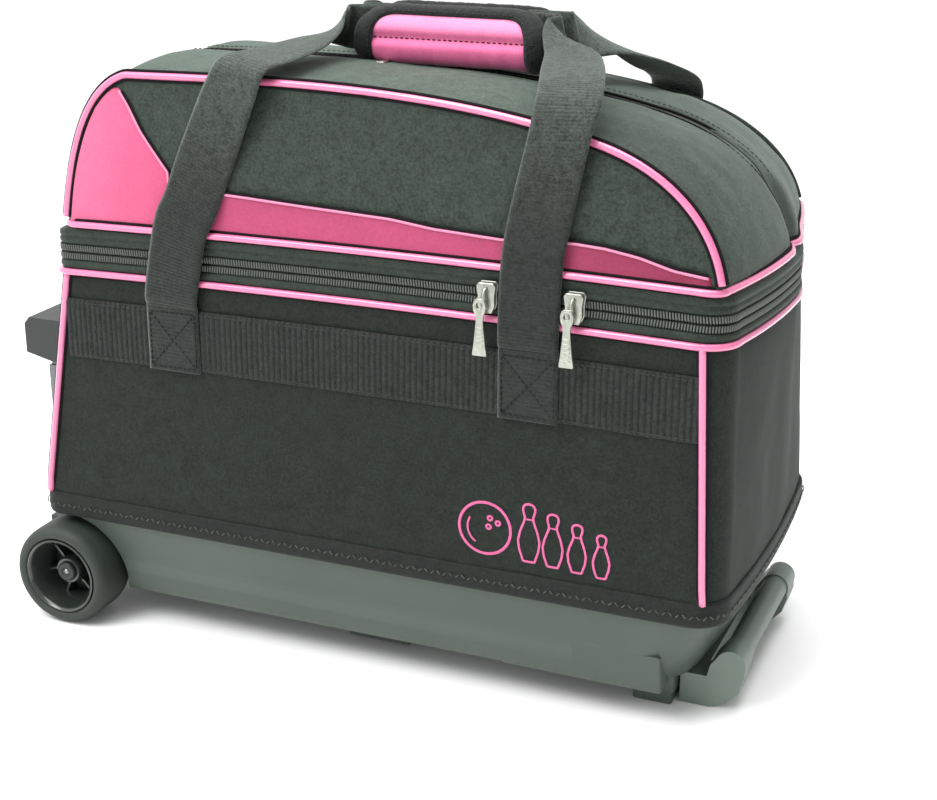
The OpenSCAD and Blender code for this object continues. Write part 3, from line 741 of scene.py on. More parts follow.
def make_body_ends():
    heights = np.linspace(BASE_Z + 2, RIM_Z + 1, 76)
    for sign, name in ((-1, "left"), (1, "right")):
        rows = np.array([np.column_stack([end_rows(sign, z), np.full(150, z)]) for z in heights])
        around = np.linspace(0, 1, 150)[None, :]
        v = ((heights - 92) / (RIM_Z - 92))[:, None]
        d_side = np.minimum(around, 1 - around) * 280
        edge = near(d_side, 6) * near(heights[:, None] - 90, 7) * near(RIM_Z + 1 - heights[:, None], 5)
        folds = 1.1 * rough(rows * [1, 1, 0.35], 42, 11.0 * sign) + 0.4 * rough(rows, 22, 17.0)
        hollow = -1.6 * np.exp(-((around - 0.5) / 0.3) ** 2) * np.exp(-((v - 0.45) / 0.3) ** 2)
        bulge = edge * (0.9 + 1.2 * smooth(v * 2) + folds * smooth((1.1 - v) * 2) + hollow)
        tangent = unit(np.gradient(rows[..., :2], axis=1))
        out = np.stack([tangent[..., 1], -tangent[..., 0]], -1) * (1 if sign > 0 else -1)
        rows[..., :2] += out * bulge[..., None]
        obj = cloth_sheet(f"body_{name}_cloth", lift(rows))
        place(obj, "body_fabric", "body_fabric", "base", f"body_{name}_panel")


# ---- pipings
def ring_path(outline, z, count):
    return lift(at_height(resample(outline, count, closed=True), z))


def seam_shadow(name, path, offset, closed, body):
    """Painted shade: dark tubes on both sides of a piping, offset from its middle line, for the shade in the
    gaps beside it.
    """
    lines = [tube(f"{name}_{k}", path + sign * offset, 1.15, closed, sides=6)
             for k, sign in enumerate((-1, 1))]
    place(join(name, lines), "seam", "piping", body)


def make_pipings():
    rims = (("body", "base", body_outline(RIM_Z, -PIPING_R), body_outline(RIM_Z, -0.6), RIM_Z),
            ("lid", "lid", lid_outline(-PIPING_R), lid_outline(-0.8), LID_Z))
    for name, body, outer, inner, z in rims:
        cord = tube(f"{name}_rim_piping_cord", ring_path(outer, z, 420), PIPING_R, True)
        place(cord, "piping", "piping", body, f"{name}_rim_piping")
        seam_shadow(f"{name}_rim_seam", ring_path(inner, z, 300), np.array([0, 0, 2.7]), True, body)
    z = np.linspace(BASE_Z + 10, RIM_Z - 1, 60)
    left, right = seam_x(z)
    for sign, name in ((-1, "front"), (1, "back")):
        pieces = []
        for side, x in enumerate((left - 0.4, right + 0.4)):
            y = sign * (HALF_W + 1.4) + 0 * z
            y[:5] -= sign * np.linspace(1.6, 0, 5)
            path = lift(np.column_stack([x, y, z]))
            pieces.append(tube(f"{name}_corner_{side}", path, PIPING_R, False, (0, 1, 0)))
            gap = path - [0, sign * 0.9, 0]
            seam_shadow(f"{name}_corner_seam_{side}", gap, np.array([2.5, 0, 0]), False, "base")
        cords = join(f"{name}_corner_piping_cord", pieces)
        place(cords, "piping", "piping", "base", f"{name}_corner_piping")
    for t, name, material, slot in ((-1, "front", "piping", "piping"),
                                    (1, "back", "lid_fabric", "body_fabric")):
        arch = ARCH[2:-2]
        path = lid_surface(arch[:, 0], arch[:, 1], t)
        tangent = unit(np.gradient(arch, axis=0))
        path[:, 0] += -tangent[:, 1] * 0.6 * PIPING_R
        path[:, 2] += tangent[:, 0] * 0.6 * PIPING_R
        path[:, 1] += t * 0.9
        radius = PIPING_R if t < 0 else 1.5
        obj = tube(f"{name}_arch_piping_cord", lift(path), radius, False, (0, 1, 0))
        if t < 0:
            offset = np.stack([-tangent[:, 1], 0.25 + 0 * tangent[:, 0], tangent[:, 0]], 1) * 2.7
            seam_shadow(f"{name}_arch_seam", lift(path - [0, t * 0.6, 0]), offset, False, "lid")
        place(obj, material, slot, "lid", f"{name}_arch_piping")


# ---- the main zip
def zip_tape(name, rim, profile, body, node):
    """Folded tape: closed profile of (share of the way to the coil's line, out, z) swept round."""
    count = 400
    rim = resample(rim, count, closed=True)
    line = resample(zip_outline(), count, closed=True)
    out = outward_of(line)
    wave = rough(at_height(line, 0), 30, 2.0) * 0.5
    sections = np.zeros((count, len(profile), 3))
    for k, (share, away, z) in enumerate(profile):
        loose = 1.0 if away > 0.3 else 0.0
        sections[:, k, :2] = lerp(rim, line, share) + out * (away + wave * loose)[:, None]
        sections[:, k, 2] = z + 0.5 * wave * loose
    place(sweep(name, lift(sections)), "tape", "zip_tape", body, node)


def zip_coil(name, z0, z1, slant, body, node):
    """One half of the coil: a row of slanting teeth with rounded heads."""
    count = 760
    path = resample(zip_outline(-0.7), count, closed=True)
    step = unit(np.roll(path, -1, 0) - path)
    lower = lift(at_height(path - step * slant, z0))
    upper = lift(at_height(path + step * slant, z1))
    place(threads(name, lower, upper, 0.66, 6), "coil", "zip_coil", body, node)


def make_main_zip():
    low = [(0, -2.6, 251.5), (0.1, -0.2, 254.4), (0.5, 1.4, 256.4), (1, 2.2, 258.4), (1, 1.9, 260.4),
           (1, 0.8, 261.4), (1, -0.4, 261.7), (1, -0.5, 266.7), (1, -2.2, 266.7), (1, -3.0, 260),
           (0, -3.4, 252)]
    high = [(0, -2.6, 288), (0.05, -0.2, 285.7), (0.45, 1.2, 283.6), (0.9, 2.0, 281), (1, 1.6, 278.6),
            (1, 0.6, 277.4), (1, 1.5, 276), (1, 1.6, 274.2), (1, 0.7, 273), (1, -0.4, 272.6),
            (1, -0.5, 267.3), (1, -2.2, 267.3), (1, -3.0, 276), (0, -3.4, 287)]
    zip_tape("body_zip_tape_cloth", body_outline(RIM_Z), low, "base", "body_zip_tape")
    zip_tape("lid_zip_tape_cloth", lid_outline(), high, "lid", "lid_zip_tape")
    x, z = np.meshgrid(np.linspace(-168, 212, 60), np.linspace(252, 282, 24))
    flap = cloth_sheet("back_hinge_flap", np.stack([x, 118.2 + 0 * x, z], -1), 0.8, (20, -60, 267))
    place_across(flap, "lining", "body_fabric", ("base", "lid"), (0, 121, 260), (0, 121, 274))
    zip_coil("body_zip_coil_teeth", 262.2, 266.4, 0.25, "base", "body_zip_coil")
    zip_coil("lid_zip_coil_teeth", 267.6, 272.0, -0.25, "lid", "lid_zip_coil")


# ---- the lid's cloth
def lid_side_puff(x, rise, seed):
    """How far the lid's front or back cloth stands out of its flat plane."""
    top = arch_top(x)
    d_top, d_low = top - rise, rise
    d_end = np.minimum(x - LID_X0, LID_X1 - x)
    d = np.minimum(np.minimum(d_top, d_low), d_end)
    p = np.stack(np.broadcast_arrays(x, 0 * x, rise), -1)
    folds = 0.6 * rough(p * [1, 1, 1.4], 55, seed) + 0.25 * rough(p, 20, seed + 3)
    return near(d, 4) * (1.0 + 3.2 * smooth(d / 45) + folds)


def lid_side_grid(sign, seed):
    """Front or back panel: lines from the rim up to the arch."""
    top = resample(ARCH, 180)
    share = (top[:, 0] - LID_X0) / (LID_X1 - LID_X0)
    foot = LID_X0 + (LID_X1 - LID_X0) * lerp(share, np.linspace(0, 1, 180), 0.25)
    v = np.linspace(0, 1, 50)[:, None]
    x = lerp(foot, top[:, 0], v)
    rise = top[:, 1] * v
    return side_on_lid(x, rise, sign, seed, 0)


def side_on_lid(x, rise, sign, seed, out):
    """Points of the lid's front or back cloth over arch places (x, rise), out mm away from it."""
    grid = lid_surface(x, rise, float(sign))
    grid[..., 1] += sign * (lid_side_puff(x, rise, seed) + out)
    return lift(grid)


def make_lid_sides():
    for sign, name in ((-1, "front"), (1, "back")):
        obj = cloth_sheet(f"lid_{name}_cloth", lid_side_grid(sign, 9.0 + sign), outward=(25, 0, 330))
        place(obj, "lid_fabric", "body_fabric", "lid", f"lid_{name}_panel")


def pink_patch(name, left, right, low, high, material, node):
    """Cloth patch on the lid's front: left and right give x at a share of FLANK, low and high give rise."""
    u = np.linspace(0, 1, 110)[None, :]
    v = np.linspace(0, 1, 40)[:, None]
    x = lerp(left(v), right(v), u)
    rise = lerp(low(x), high(x), v)
    for _ in range(4):
        height = np.clip(rise / FLANK, 0, 1)
        x = lerp(left(height), right(height), u)
        rise = lerp(low(x), high(x), v)
    grid = side_on_lid(x, rise, -1, 8.0, 0.9)
    edge = np.minimum(np.minimum(u, 1 - u) * (x.max() - x.min()), np.minimum(v, 1 - v) * 60)
    grid[..., 1] += 0.8 * (1 - near(edge, 1.2)) - 0.5 * rough(grid * [1, 1, 0.5], 24, 4.0) * near(edge, 6)
    obj = cloth_sheet(name, grid, 1.2, (25, 0, 330))
    place(obj, material, "pink_fabric", "lid", node)


def patch_edge(name, x, rise, aside):
    """Pale rolled edge of a patch, with a dark tube beside it as painted shade in its seam."""
    path = resample(side_on_lid(np.asarray(x, float), np.asarray(rise, float), -1, 8.0, 1.5), 160)
    place(tube(f"{name}_roll", path, 0.9, False, (0, 1, 0), 8), "pink_edge", "pink_fabric", "lid")
    place(tube(f"{name}_seam", path + aside, 0.9, False, (0, 1, 0), 6), "seam", "pink_fabric", "lid")


def arch_left(v):
    """x of the arch's left flank at height share v of FLANK."""
    flank = ARCH[:90]
    return np.interp(np.asarray(v) * FLANK, flank[:, 1], flank[:, 0])


def make_pink_patches():
    def corner_right(v):
        return np.interp(np.asarray(v) * FLANK, [0, 39, 52, 64, 79, 90], [-108, -110, -121, -131, -141, -150])
    pink_patch("pink_corner_cloth", lambda v: arch_left(v) + 1.5, corner_right,
               lambda x: 1.5 + 0 * x, lambda x: np.minimum(88.5, arch_top(x) - 2.5),
               "pink_corner", "pink_corner_panel")
    sweep_x = [-96, -18, 42, 71, 114, 156, 176, 197, 217, 228, 239]
    sweep_rise = [29, 24.5, 22, 18.5, 16.5, 19, 18, 15, 10, 9, 8]
    pink_patch("pink_sweep_cloth", lambda v: -92 + 0 * np.asarray(v), lambda v: 238.5 - 3 * np.asarray(v),
               lambda x: 1.5 + 0 * x, lambda x: np.interp(x, sweep_x, sweep_rise), "pink", "pink_sweep_panel")
    x = np.linspace(-92, 237, 120)
    patch_edge("sweep_edge", x, np.interp(x, sweep_x, sweep_rise), [0, 0.2, 1.7])
    rise = np.linspace(2, 87, 80)
    patch_edge("corner_edge", corner_right(rise / FLANK), rise, [1.7, 0.2, 0])


def gusset_grid(sign):
    """Half of the band over the lid's top and ends, from its piping to the top zip."""
    arch = resample(ARCH, 260)
    along = np.linspace(0, 1, 260)[None, :]
    opening = 0.06 * smooth((along - 0.14) * 30) * smooth((0.86 - along) * 30) + 0.004
    v = np.linspace(0, 1, 46)[:, None]
    t = sign * lerp(1.0, opening, v)
    x = np.broadcast_to(arch[None, :, 0], t.shape)
    rise = np.broadcast_to(arch[None, :, 1], t.shape)
    grid = lid_surface(x, rise, t)
    tangent = unit(np.gradient(arch, axis=0))
    out = np.stack([-tangent[:, 1], 0 * tangent[:, 0], tangent[:, 0]], -1)[None]
    edge = near(v * 118, 5) * near((1 - v) * 118, 2.5)
    d_rim = np.minimum(along, 1 - along) * ARCH_LENGTH
    under = np.exp(-((grid[..., 0] - 30) / 80) ** 2) * np.exp(-(grid[..., 1] / 30) ** 2)
    folds = 1.5 * rough(grid * [1, 0.35, 1], 34, 21.0 + sign) + 0.5 * rough(grid, 14, 5.0)
    shoulder = 3.0 * np.exp(-((along - 0.8) / 0.035) ** 2) * np.exp(-((v - 0.55) / 0.3) ** 2)
    puff = edge * near(d_rim, 5) * (1.0 + 2.2 * np.sin(np.pi * v) + folds + shoulder) * (1 - 0.75 * under)
    return lift(grid + out * puff[..., None])


def make_gusset():
    for sign, name in ((-1, "front"), (1, "back")):
        obj = cloth_sheet(f"gusset_{name}_cloth", gusset_grid(sign), outward=(25, 0, 300))
        place(obj, "gusset_fabric", "body_fabric", "lid", "lid_gusset")


def crown_line(t, out, a0=0.15, a1=0.85, count=300):
    """A line along the lid's crest, at t across it."""
    arch = resample(ARCH, 600)[int(600 * a0):int(600 * a1)]
    arch = resample(arch, count)
    path = lid_surface(arch[:, 0], arch[:, 1], t)
    tangent = unit(np.gradient(arch, axis=0))
    path[:, 0] -= tangent[:, 1] * out
    path[:, 2] += tangent[:, 0] * out
    return lift(path)


def make_top_zip():
    columns = [crown_line(t, out) for t, out in
               ((-0.062, -0.6), (-0.03, -2.1), (0, -2.5), (0.03, -2.1), (0.062, -0.6),
                (0.062, -1.6), (0, -3.4), (-0.062, -1.6))]
    tape = sweep("top_zip_tape_cloth", np.stack(columns, 1), closed=False)
    place(tape, "tape", "zip_tape", "lid", "top_zip_tape")
    left, right = crown_line(-0.022, -1.0, count=330), crown_line(0.022, -1.0, count=330)
    shift = np.gradient(left, axis=0) * 0.35
    place(threads("top_zip_coil_teeth", left, right + shift, 0.62), "coil", "zip_coil", "lid", "top_zip_coil")
    # painted shade: two dark tubes along the top zip's seams stand for the shade in their valleys
    seams = [tube(f"top_seam_{k}", crown_line(t, 0.2, 0.03, 0.975, 400), 0.8, False, sides=6)
             for k, t in enumerate((-0.058, 0.058))]
    place(join("top_zip_seams", seams), "seam", "body_fabric", "lid")
    lines = [crown_line(t, 2.0, 0.04, 0.965, 400) for t in (-0.105, 0.105)]
    stitch_lines("top_zip_topstitches", lines, "lid", slot="body_fabric", stitch=2.4, gap=1.3, radius=0.3)


# ---- stitches
def running_stitch(path, stitch, gap):
    """Starts and ends of the stitches along a path."""
    along = distances(path)
    at = np.arange(gap, along[-1] - stitch, stitch + gap)

    def where(s):
        return np.stack([np.interp(s, along, path[:, k]) for k in range(3)], 1)
    return where(at), where(at + stitch)


def stitch_lines(name, paths, body, material="thread", slot="webbing", stitch=2.6, gap=1.0, radius=0.34):
    ends = [running_stitch(np.asarray(p, float), stitch, gap) for p in paths]
    obj = threads(name, np.vstack([e[0] for e in ends]), np.vstack([e[1] for e in ends]), radius, 5)
    place(obj, material, slot, body)
    return obj


# ---- webbing
def webbing_profile(width, thick, n=17):
    """Closed cross-section of a webbing: (across, away), with soft edges."""
    across = np.linspace(-1, 1, n)
    edge = np.sqrt(np.clip(1 - np.abs(across) ** 14, 0, 1))
    top = np.stack([across * width / 2, thick / 2 * (0.35 + 0.65 * edge)], 1)
    low = np.stack([across[::-1] * width / 2, -thick / 2 * (0.35 + 0.65 * edge[::-1])], 1)
    return np.vstack([top, low])


def webbing(name, centre, across, thick, rib, depth):
    """Strip along a path; across holds half-width vectors, rib is the pitch of its cross ribs."""
    along = distances(centre)
    tangent = unit(np.gradient(centre, axis=0))
    away = unit(np.cross(tangent, across))
    profile = webbing_profile(2.0, thick)
    ribs = depth * np.abs(np.sin(np.pi * along / rib)) ** 0.7
    sections = []
    for i in range(len(centre)):
        lift_by = profile[:, 1] + np.sign(profile[:, 1]) * ribs[i] * (np.abs(profile[:, 0]) < 0.93)
        sections.append(centre[i] + profile[:, :1] * across[i] + lift_by[:, None] * away[i])
    return sweep(name, sections, closed=False)


def front_face(x, z, out=0.0):
    """Point on the front cloth, out mm away from it."""
    x, z = np.broadcast_arrays(np.asarray(x, float), np.asarray(z, float))
    return lift(np.stack([x, -(HALF_W + side_puff(x, z) + out), z], -1))


def make_bands():
    x = np.arange(-193.5, 236.5, 0.55)
    mid = (BAND_Z0 + BAND_Z1) / 2
    centre = front_face(x, mid + 0 * x, 1.1)
    top = front_face(x, BAND_Z1 + 0 * x, 1.1)
    low = front_face(x, BAND_Z0 + 0 * x, 1.1)
    band = webbing("front_band_webbing", centre, (top - low) / 2, 1.5, 3.9, 0.7)
    back = mirrored(band, "back_band_webbing")
    place(band, "band", "webbing", "base", "front_webbing_band")
    place(back, "band", "webbing", "base", "back_webbing_band")
    edges = [front_face(x, z + 0 * x, 2.3) for z in (BAND_Z0 + 2.2, BAND_Z1 - 2.2)]
    front = stitch_lines("front_band_stitches", edges, "base")
    place(mirrored(front, "back_band_stitches"), "thread", "webbing", "base")


def make_strap_ends():
    z = np.arange(BAND_Z0 - 1, 238.4, 0.5)
    pieces, stitches = [], []
    for x in STRAP_X:
        centre = front_face(x + 0 * z, z, 3.0)
        half = np.broadcast_to([STRAP_W / 2, 0, 0], centre.shape)
        pieces.append(webbing(f"strap_end_{int(x)}", centre, half, 1.4, 2.5, 0.3))
        a, b, c, d = x - 16.5, x + 16.5, BAND_Z0 + 2, BAND_Z1 - 2
        box = (a, c, b, c), (b, c, b, d), (b, d, a, d), (a, d, a, c), (a, c, b, d), (a, d, b, c)
        for x0, z0, x1, z1 in box:
            t = np.linspace(0, 1, 40)
            stitches.append(front_face(lerp(x0, x1, t), lerp(z0, z1, t), 3.95))
    front = join("front_strap_ends_webbing", pieces)
    place(mirrored(front, "back_strap_ends_webbing"), "webbing", "webbing", "base", "back_strap_ends")
    place(front, "webbing", "webbing", "base", "front_strap_ends")
    sewn = stitch_lines("front_box_stitches", stitches, "base", "box_thread", radius=0.5)
    place(mirrored(sewn, "back_box_stitches"), "box_thread", "webbing", "base")


def strap_stations(back):
    """Stations (x, y, z, half-width direction, share of the width) from the left leg over the handle."""
    drop = 9.0 if back else 0.0
    left = [
        (-111, -122.9, 239.2, 19, 0, 0, 1), (-110, -125.0, 249, 19, 0, -2, 1),
        (-101, -125.2, 290, 18, 0, -6, 1),
        (-93, -123.5, 308, 18, 0, -7, 1), (-81, -121.3, 338, 17.5, 0, -7.5, 1),
        (-64, -118.2, 379 - drop, 17.3, -3, -7, 1),
        (-57, -112.8, 394.8 - drop, 18, -5, -3, 1), (-50, -92, 397.5 - drop * 0.8, 18, -5, -2, 1),
        (-46, -60, 400 - drop / 2, 18.5, -4, 0, 1), (-42, -34, 404, 16, -8, 4, 0.96),
        (-38, -17, 406.5, 7, -7, 12, 0.86), (-30, -6.5, 406, 0, 0, 1, 0.76), (34, -6.5, 406, 0, 0, 1, 0.76),
        (103, -6.5, 406, 0, 0, 1, 0.76)]
    if back:
        over = [(113, -15, 405, -7, -6, 12, 0.86), (123, -36, 399, -15, -8, 6, 0.95),
                (134, -58, 389, -18, -5, 2, 1), (143, -80, 379, -18.8, -3, 0, 1),
                (148.5, -99, 371.5, -18.8, -3, 0, 1),
                (149.5, -112, 363, -18.8, -3, 0, 1), (147, -118, 348, -19, 0, -1, 1)]
    else:
        over = [(110, -12, 407, -7, -3, 9, 0.76), (117, -22, 406.5, -13, -3, 5, 0.85),
                (125, -36, 403, -17, -1, 3, 0.97), (132, -52, 400, -18, 0, 2, 1),
                (140, -77, 397.5, -18.7, -3, 0, 1), (146.5, -98, 393, -18.8, -3, 0, 1),
                (149.5, -112, 384, -18.8, -3, 0, 1), (147, -119, 366, -19, 0, -1, 1)]
    right = [(138, -123.3, 320, -18.9, 0, 1.5, 1), (134, -125.2, 292, -19, 0, 0.5, 1),
             (132, -125.0, 249, -19, 0, 0, 1), (132, -122.9, 239.2, -19, 0, 0, 1)]
    rows = np.array(left + over + right, float)
    half = unit(rows[:, 3:6]) * rows[:, 6:7] * STRAP_W / 2
    # the half-width vector keeps one turning sense all along
    for i in range(1, len(half)):
        if np.dot(half[i], half[i - 1]) < 0:
            half[i:] = -half[i:]
    return np.column_stack([rows[:, :3], half])


def strap(name, back):
    smooth_rows = catmull(strap_stations(back), 24)
    along = distances(smooth_rows[:, :3])
    at = np.arange(0, along[-1], 0.62)
    rows = np.stack([np.interp(at, along, smooth_rows[:, k]) for k in range(6)], 1)
    return webbing(name, rows[:, :3], rows[:, 3:], 1.5, 2.2, 0.5)


def make_straps():
    front = strap("front_strap_webbing", False)
    unturned = strap("back_strap_webbing_0", True)
    back = mirrored(unturned, "back_strap_webbing")
    bpy.data.objects.remove(unturned)
    for obj, name, y in ((front, "front", -123), (back, "back", 123)):
        bodies = ("base", f"{name}_carry")
        place_across(obj, "webbing", "webbing", bodies, (0, y, 238), (0, y, 264), f"{name}_strap")


# ---- the padded handle sleeve
SLEEVE_SEAM = 0.52
SLEEVE_R = 28.0
SLEEVE_CURVE = resample(catmull([(-3, 388.5), (-12, 388.6), (-20, 392), (-22.6, 400), (-20.5, 409),
                                 (-13, 416.5), (-4.5, 420.5)], 12), 60)
SLEEVE_H = length(SLEEVE_CURVE)


def sleeve_point(x, s, out):
    """Point over the sleeve: x along it, s mm up round its section, out mm away from its face."""
    place_s = np.clip(s, 0, SLEEVE_H) / SLEEVE_H * (len(SLEEVE_CURVE) - 1)
    index = np.arange(len(SLEEVE_CURVE))
    y = np.interp(place_s, index, SLEEVE_CURVE[:, 0])
    z = np.interp(place_s, index, SLEEVE_CURVE[:, 1])
    tangent = unit(np.gradient(SLEEVE_CURVE, axis=0))
    ty = np.interp(place_s, index, tangent[:, 0])
    tz = np.interp(place_s, index, tangent[:, 1])
    x, y, z = np.broadcast_arrays(x, y - tz * out, z + ty * out)
    return np.stack([x, y, z], -1)


def sleeve_edge(s):
    """How far in the sleeve's ends come at s, because its top corners are rounded."""
    r = SLEEVE_R
    k = np.clip(s - (SLEEVE_H - r), 0, r)
    return r - np.sqrt(np.maximum(r * r - k * k, 0))


def sleeve_border(inset, count=150):
    """Path along the left end, the top and the right end, inset mm inside the edge."""
    r = max(SLEEVE_R - inset, 2.0)
    x0, x1, top = SLEEVE_X0 + inset, SLEEVE_X1 - inset, SLEEVE_H - inset
    left = np.array([[x0, s] for s in np.linspace(0, top - r, 20)])
    right = np.array([[x1, s] for s in np.linspace(top - r, 0, 20)])
    path = np.vstack([left, arc(x0 + r, top - r, r, 180, 90, 14), arc(x1 - r, top - r, r, 90, 0, 14), right])
    return resample(path, count)


def sleeve_pad():
    """Closed pad: an outer and an inner face that meet round the edge."""
    columns, rows = 96, 40
    u = np.linspace(0, 1, columns)[None, :]
    s = np.linspace(0, SLEEVE_H, rows)[:, None]
    inset = sleeve_edge(s)
    x = lerp(SLEEVE_X0 + inset, SLEEVE_X1 - inset, u)
    d_end = np.minimum(u, 1 - u) * (SLEEVE_X1 - SLEEVE_X0 - 2 * inset)
    d = np.minimum(d_end, SLEEVE_H - s)
    full = np.sqrt(np.clip(d / 16, 0, 1))
    stitch = 1 - np.exp(-((s - SLEEVE_SEAM * SLEEVE_H) / 2.6) ** 2)
    waves = rough(np.stack(np.broadcast_arrays(x, s * 0.3, 0 * s + 2), -1), 9, 6.0)
    outer = sleeve_point(x, s, full * (0.6 + 3.3 * stitch) + 0.8 * waves * (0.3 + stitch) * near(d - 12, 8))
    inner = sleeve_point(x, s, -3.2 * full)
    verts = np.vstack([outer.reshape(-1, 3), inner.reshape(-1, 3)])
    n = rows * columns
    faces = grid_faces(rows, columns)
    faces += [tuple(k + n for k in f[::-1]) for f in grid_faces(rows, columns)]
    ring = list(range(columns))
    ring += [i * columns + columns - 1 for i in range(1, rows)]
    ring += [(rows - 1) * columns + j for j in range(columns - 2, -1, -1)]
    ring += [i * columns for i in range(rows - 2, 0, -1)]
    for a, b in zip(ring, ring[1:] + ring[:1]):
        faces.append((b, a, a + n, b + n))
    return add_mesh("front_sleeve_pad", verts, faces)


def sleeve_binding():
    """Folded tape over the pad's edge."""
    rows = []
    profile = [(13.5, 4.9), (8, 5.2), (2.5, 3.4), (0.2, 1.3), (-0.9, -0.4), (0.2, -2.4), (4, -3.9), (9, -4.2),
               (9, -3.2), (4, -2.4), (4, 1.0), (13.5, 1.6)]
    for inset, out in profile:
        path = sleeve_border(max(inset, 0), 420)
        knobs = rough(np.column_stack([path, np.full(len(path), inset)]), 2.6, 12.0)
        rows.append(sleeve_point(path[:, 0], path[:, 1], out + 0.45 * knobs))
    return sweep("front_sleeve_binding", np.stack(rows, 1), closed=False)


def make_sleeves():
    pad = sleeve_pad()
    add_modifier(pad, "SUBSURF", levels=1, render_levels=1)
    binding = sleeve_binding()
    x = np.linspace(SLEEVE_X0 + 9, SLEEVE_X1 - 9, 120)
    seam = sleeve_point(x, SLEEVE_SEAM * SLEEVE_H + 0 * x, 1.1)
    starts, ends = running_stitch(seam, 2.4, 1.3)
    mid = threads("front_sleeve_stitches", starts, ends, 0.42, 5)
    border = sleeve_border(11.6)
    starts, ends = running_stitch(sleeve_point(border[:, 0], border[:, 1], 5.1), 2.2, 1.4)
    edge = threads("front_binding_stitches", starts, ends, 0.35, 5)
    pieces = [(pad, "sleeve_pink", "pink_fabric", ("sleeve",)), (binding, "binding", "webbing", ()),
              (mid, "dark_thread", "webbing", ()), (edge, "thread", "webbing", ())]
    for obj, material, slot, nodes in pieces:
        back = mirrored(obj, obj.name.replace("front", "back"))
        place(back, material, slot, "back_carry", *[f"back_{n}" for n in nodes])
        place(obj, material, slot, "front_carry", *[f"front_{n}" for n in nodes])


# ---- base
def cut(obj, tool, operation="DIFFERENCE"):
    """Boolean of two new pieces, applied at once; the tool is removed."""
    modifier = add_modifier(obj, "BOOLEAN", operation=operation, object=tool, solver="EXACT")
    graph = bpy.context.evaluated_depsgraph_get()
    mesh = bpy.data.meshes.new_from_object(obj.evaluated_get(graph))
    obj.modifiers.remove(modifier)
    obj.data = mesh
    bpy.data.objects.remove(tool)


def tray_rings(d):
    """The tray's outlines from its rounded lower edge up, moved d mm inwards."""
    levels = [(TRAY_Z + d, 5.0), (TRAY_Z + 1.2 + d, 2.0), (TRAY_Z + 4 + d, 0.3), (34 + d / 2, 0.0)]
    levels += [(z, 0.0) for z in (44, 54, 64, 74, BASE_Z + (1 if d else -1))]
    return [at_height(tray_outline(max(z, TRAY_Z + 4), d + inset), z) for z, inset in levels]


def cylinder_y(name, x, z, r, y0, y1, n=96):
    """Rod from y0 to y1, its axis at x and z."""
    a = turn(n)
    rings = [np.stack([x + r * np.cos(a), np.full(n, y), z + r * np.sin(a)], 1) for y in (y0, y1)]
    return sweep(name, rings, closed=False)


def smooth_by_angle(obj, degrees):
    """Sharp edges wherever the surface turns by more than this."""
    bm = bmesh.new()
    bm.from_mesh(obj.data)
    limit = math.radians(degrees)
    for edge in bm.edges:
        edge.smooth = len(edge.link_faces) != 2 or edge.calc_face_angle(0) < limit
    for face in bm.faces:
        face.smooth = True
    bm.to_mesh(obj.data)
    bm.free()


def tray_skirt(name, sign):
    """Flat lower part of the tray's long side that runs on to the foot, where the corner is undercut."""
    rings = []
    for z in (22, 24, 28, 32, 36, 40, 44, 48, 50):
        face = sign * (np.abs(tray_outline(z)[:, 1]).max() + 0.2)
        buried = face - sign * 1.2
        inner = sign * 84
        rings.append([(110, buried, z), (170, face, z), (216, face, z), (216, inner, z), (110, inner, z)])
    skirt = sweep(name, rings, closed=False)
    round_edges(skirt, 1.4, 3, 40)
    return skirt


def make_tray():
    tray = sweep("base_tray_moulding", tray_rings(0), closed=False)
    hollow = sweep("tray_hollow", tray_rings(TRAY_WALL), closed=False)
    for sign in (-1, 1):
        cut(hollow, cylinder_y("well_outer", HUB_X, WHEEL_R, 44, sign * 86, sign * 140))
    cut(tray, hollow)
    for sign in (-1, 1):
        cut(tray, cylinder_y("well", HUB_X, WHEEL_R, 41, sign * 89, sign * 140))
    smooth_by_angle(tray, 30)
    round_edges(tray, 0.9, 2, 40)
    place(tray, "base_plastic", "base_plastic", "base", "base_tray")
    feet = []
    for sign in (-1, 1):
        y0, y1 = sorted((sign * 80, sign * 54))
        feet.append(rounded_box(f"foot_{sign}", (190, y0, 0), (216, y1, TRAY_Z + 1.5), 2.0))
        step = [(204, y0 - 1.2, TRAY_Z - 13), (217.5, y1 + 1.2, TRAY_Z + 3)]
        feet.append(rounded_box(f"foot_step_{sign}", *step, 1.8))
        feet.append(tray_skirt(f"foot_skirt_{sign}", sign))
    place(join("base_front_feet", feet), "base_plastic", "base_plastic", "base")


def make_binding():
    """Bound edge where the cloth meets the tray, with its zigzag stitches."""
    count = 460
    outline = resample(body_outline(BASE_Z), count, closed=True)
    out = outward_of(outline)
    at = at_height(outline, 0)
    wave = 0.5 * rough(at, 24, 1.5) + 0.3 * rough(at, 9, 2.5)
    profile = [(0.0, 94.4), (1.5, 94.0), (2.1, 92), (2.3, 86), (2.2, 80), (1.5, 78.2), (0.2, 77.6),
               (-0.6, 78.4), (-0.6, 86), (-0.4, 93.8)]
    sections = np.zeros((count, len(profile), 3))
    for k, (away, z) in enumerate(profile):
        sections[:, k, :2] = outline + out * (away + 0.35 * wave * (away > 1))[:, None]
        sections[:, k, 2] = z + wave * (0.8 if z > 90 else 0.25)
    place(sweep("base_binding_tape", sections), "base_binding", "webbing", "base", "base_binding")
    n = 340
    path = resample(body_outline(BASE_Z, -2.65), n, closed=True)
    heights = np.where(np.arange(n) % 2 == 0, 83.6, 87.8)
    points = np.column_stack([path, heights])
    following = np.roll(points, -1, 0)
    starts, ends = lerp(points, following, 0.2), lerp(points, following, 0.7)
    stitches = threads("base_binding_stitches", starts, ends, 0.48, 5)
    place(stitches, "pale_thread", "webbing", "base")


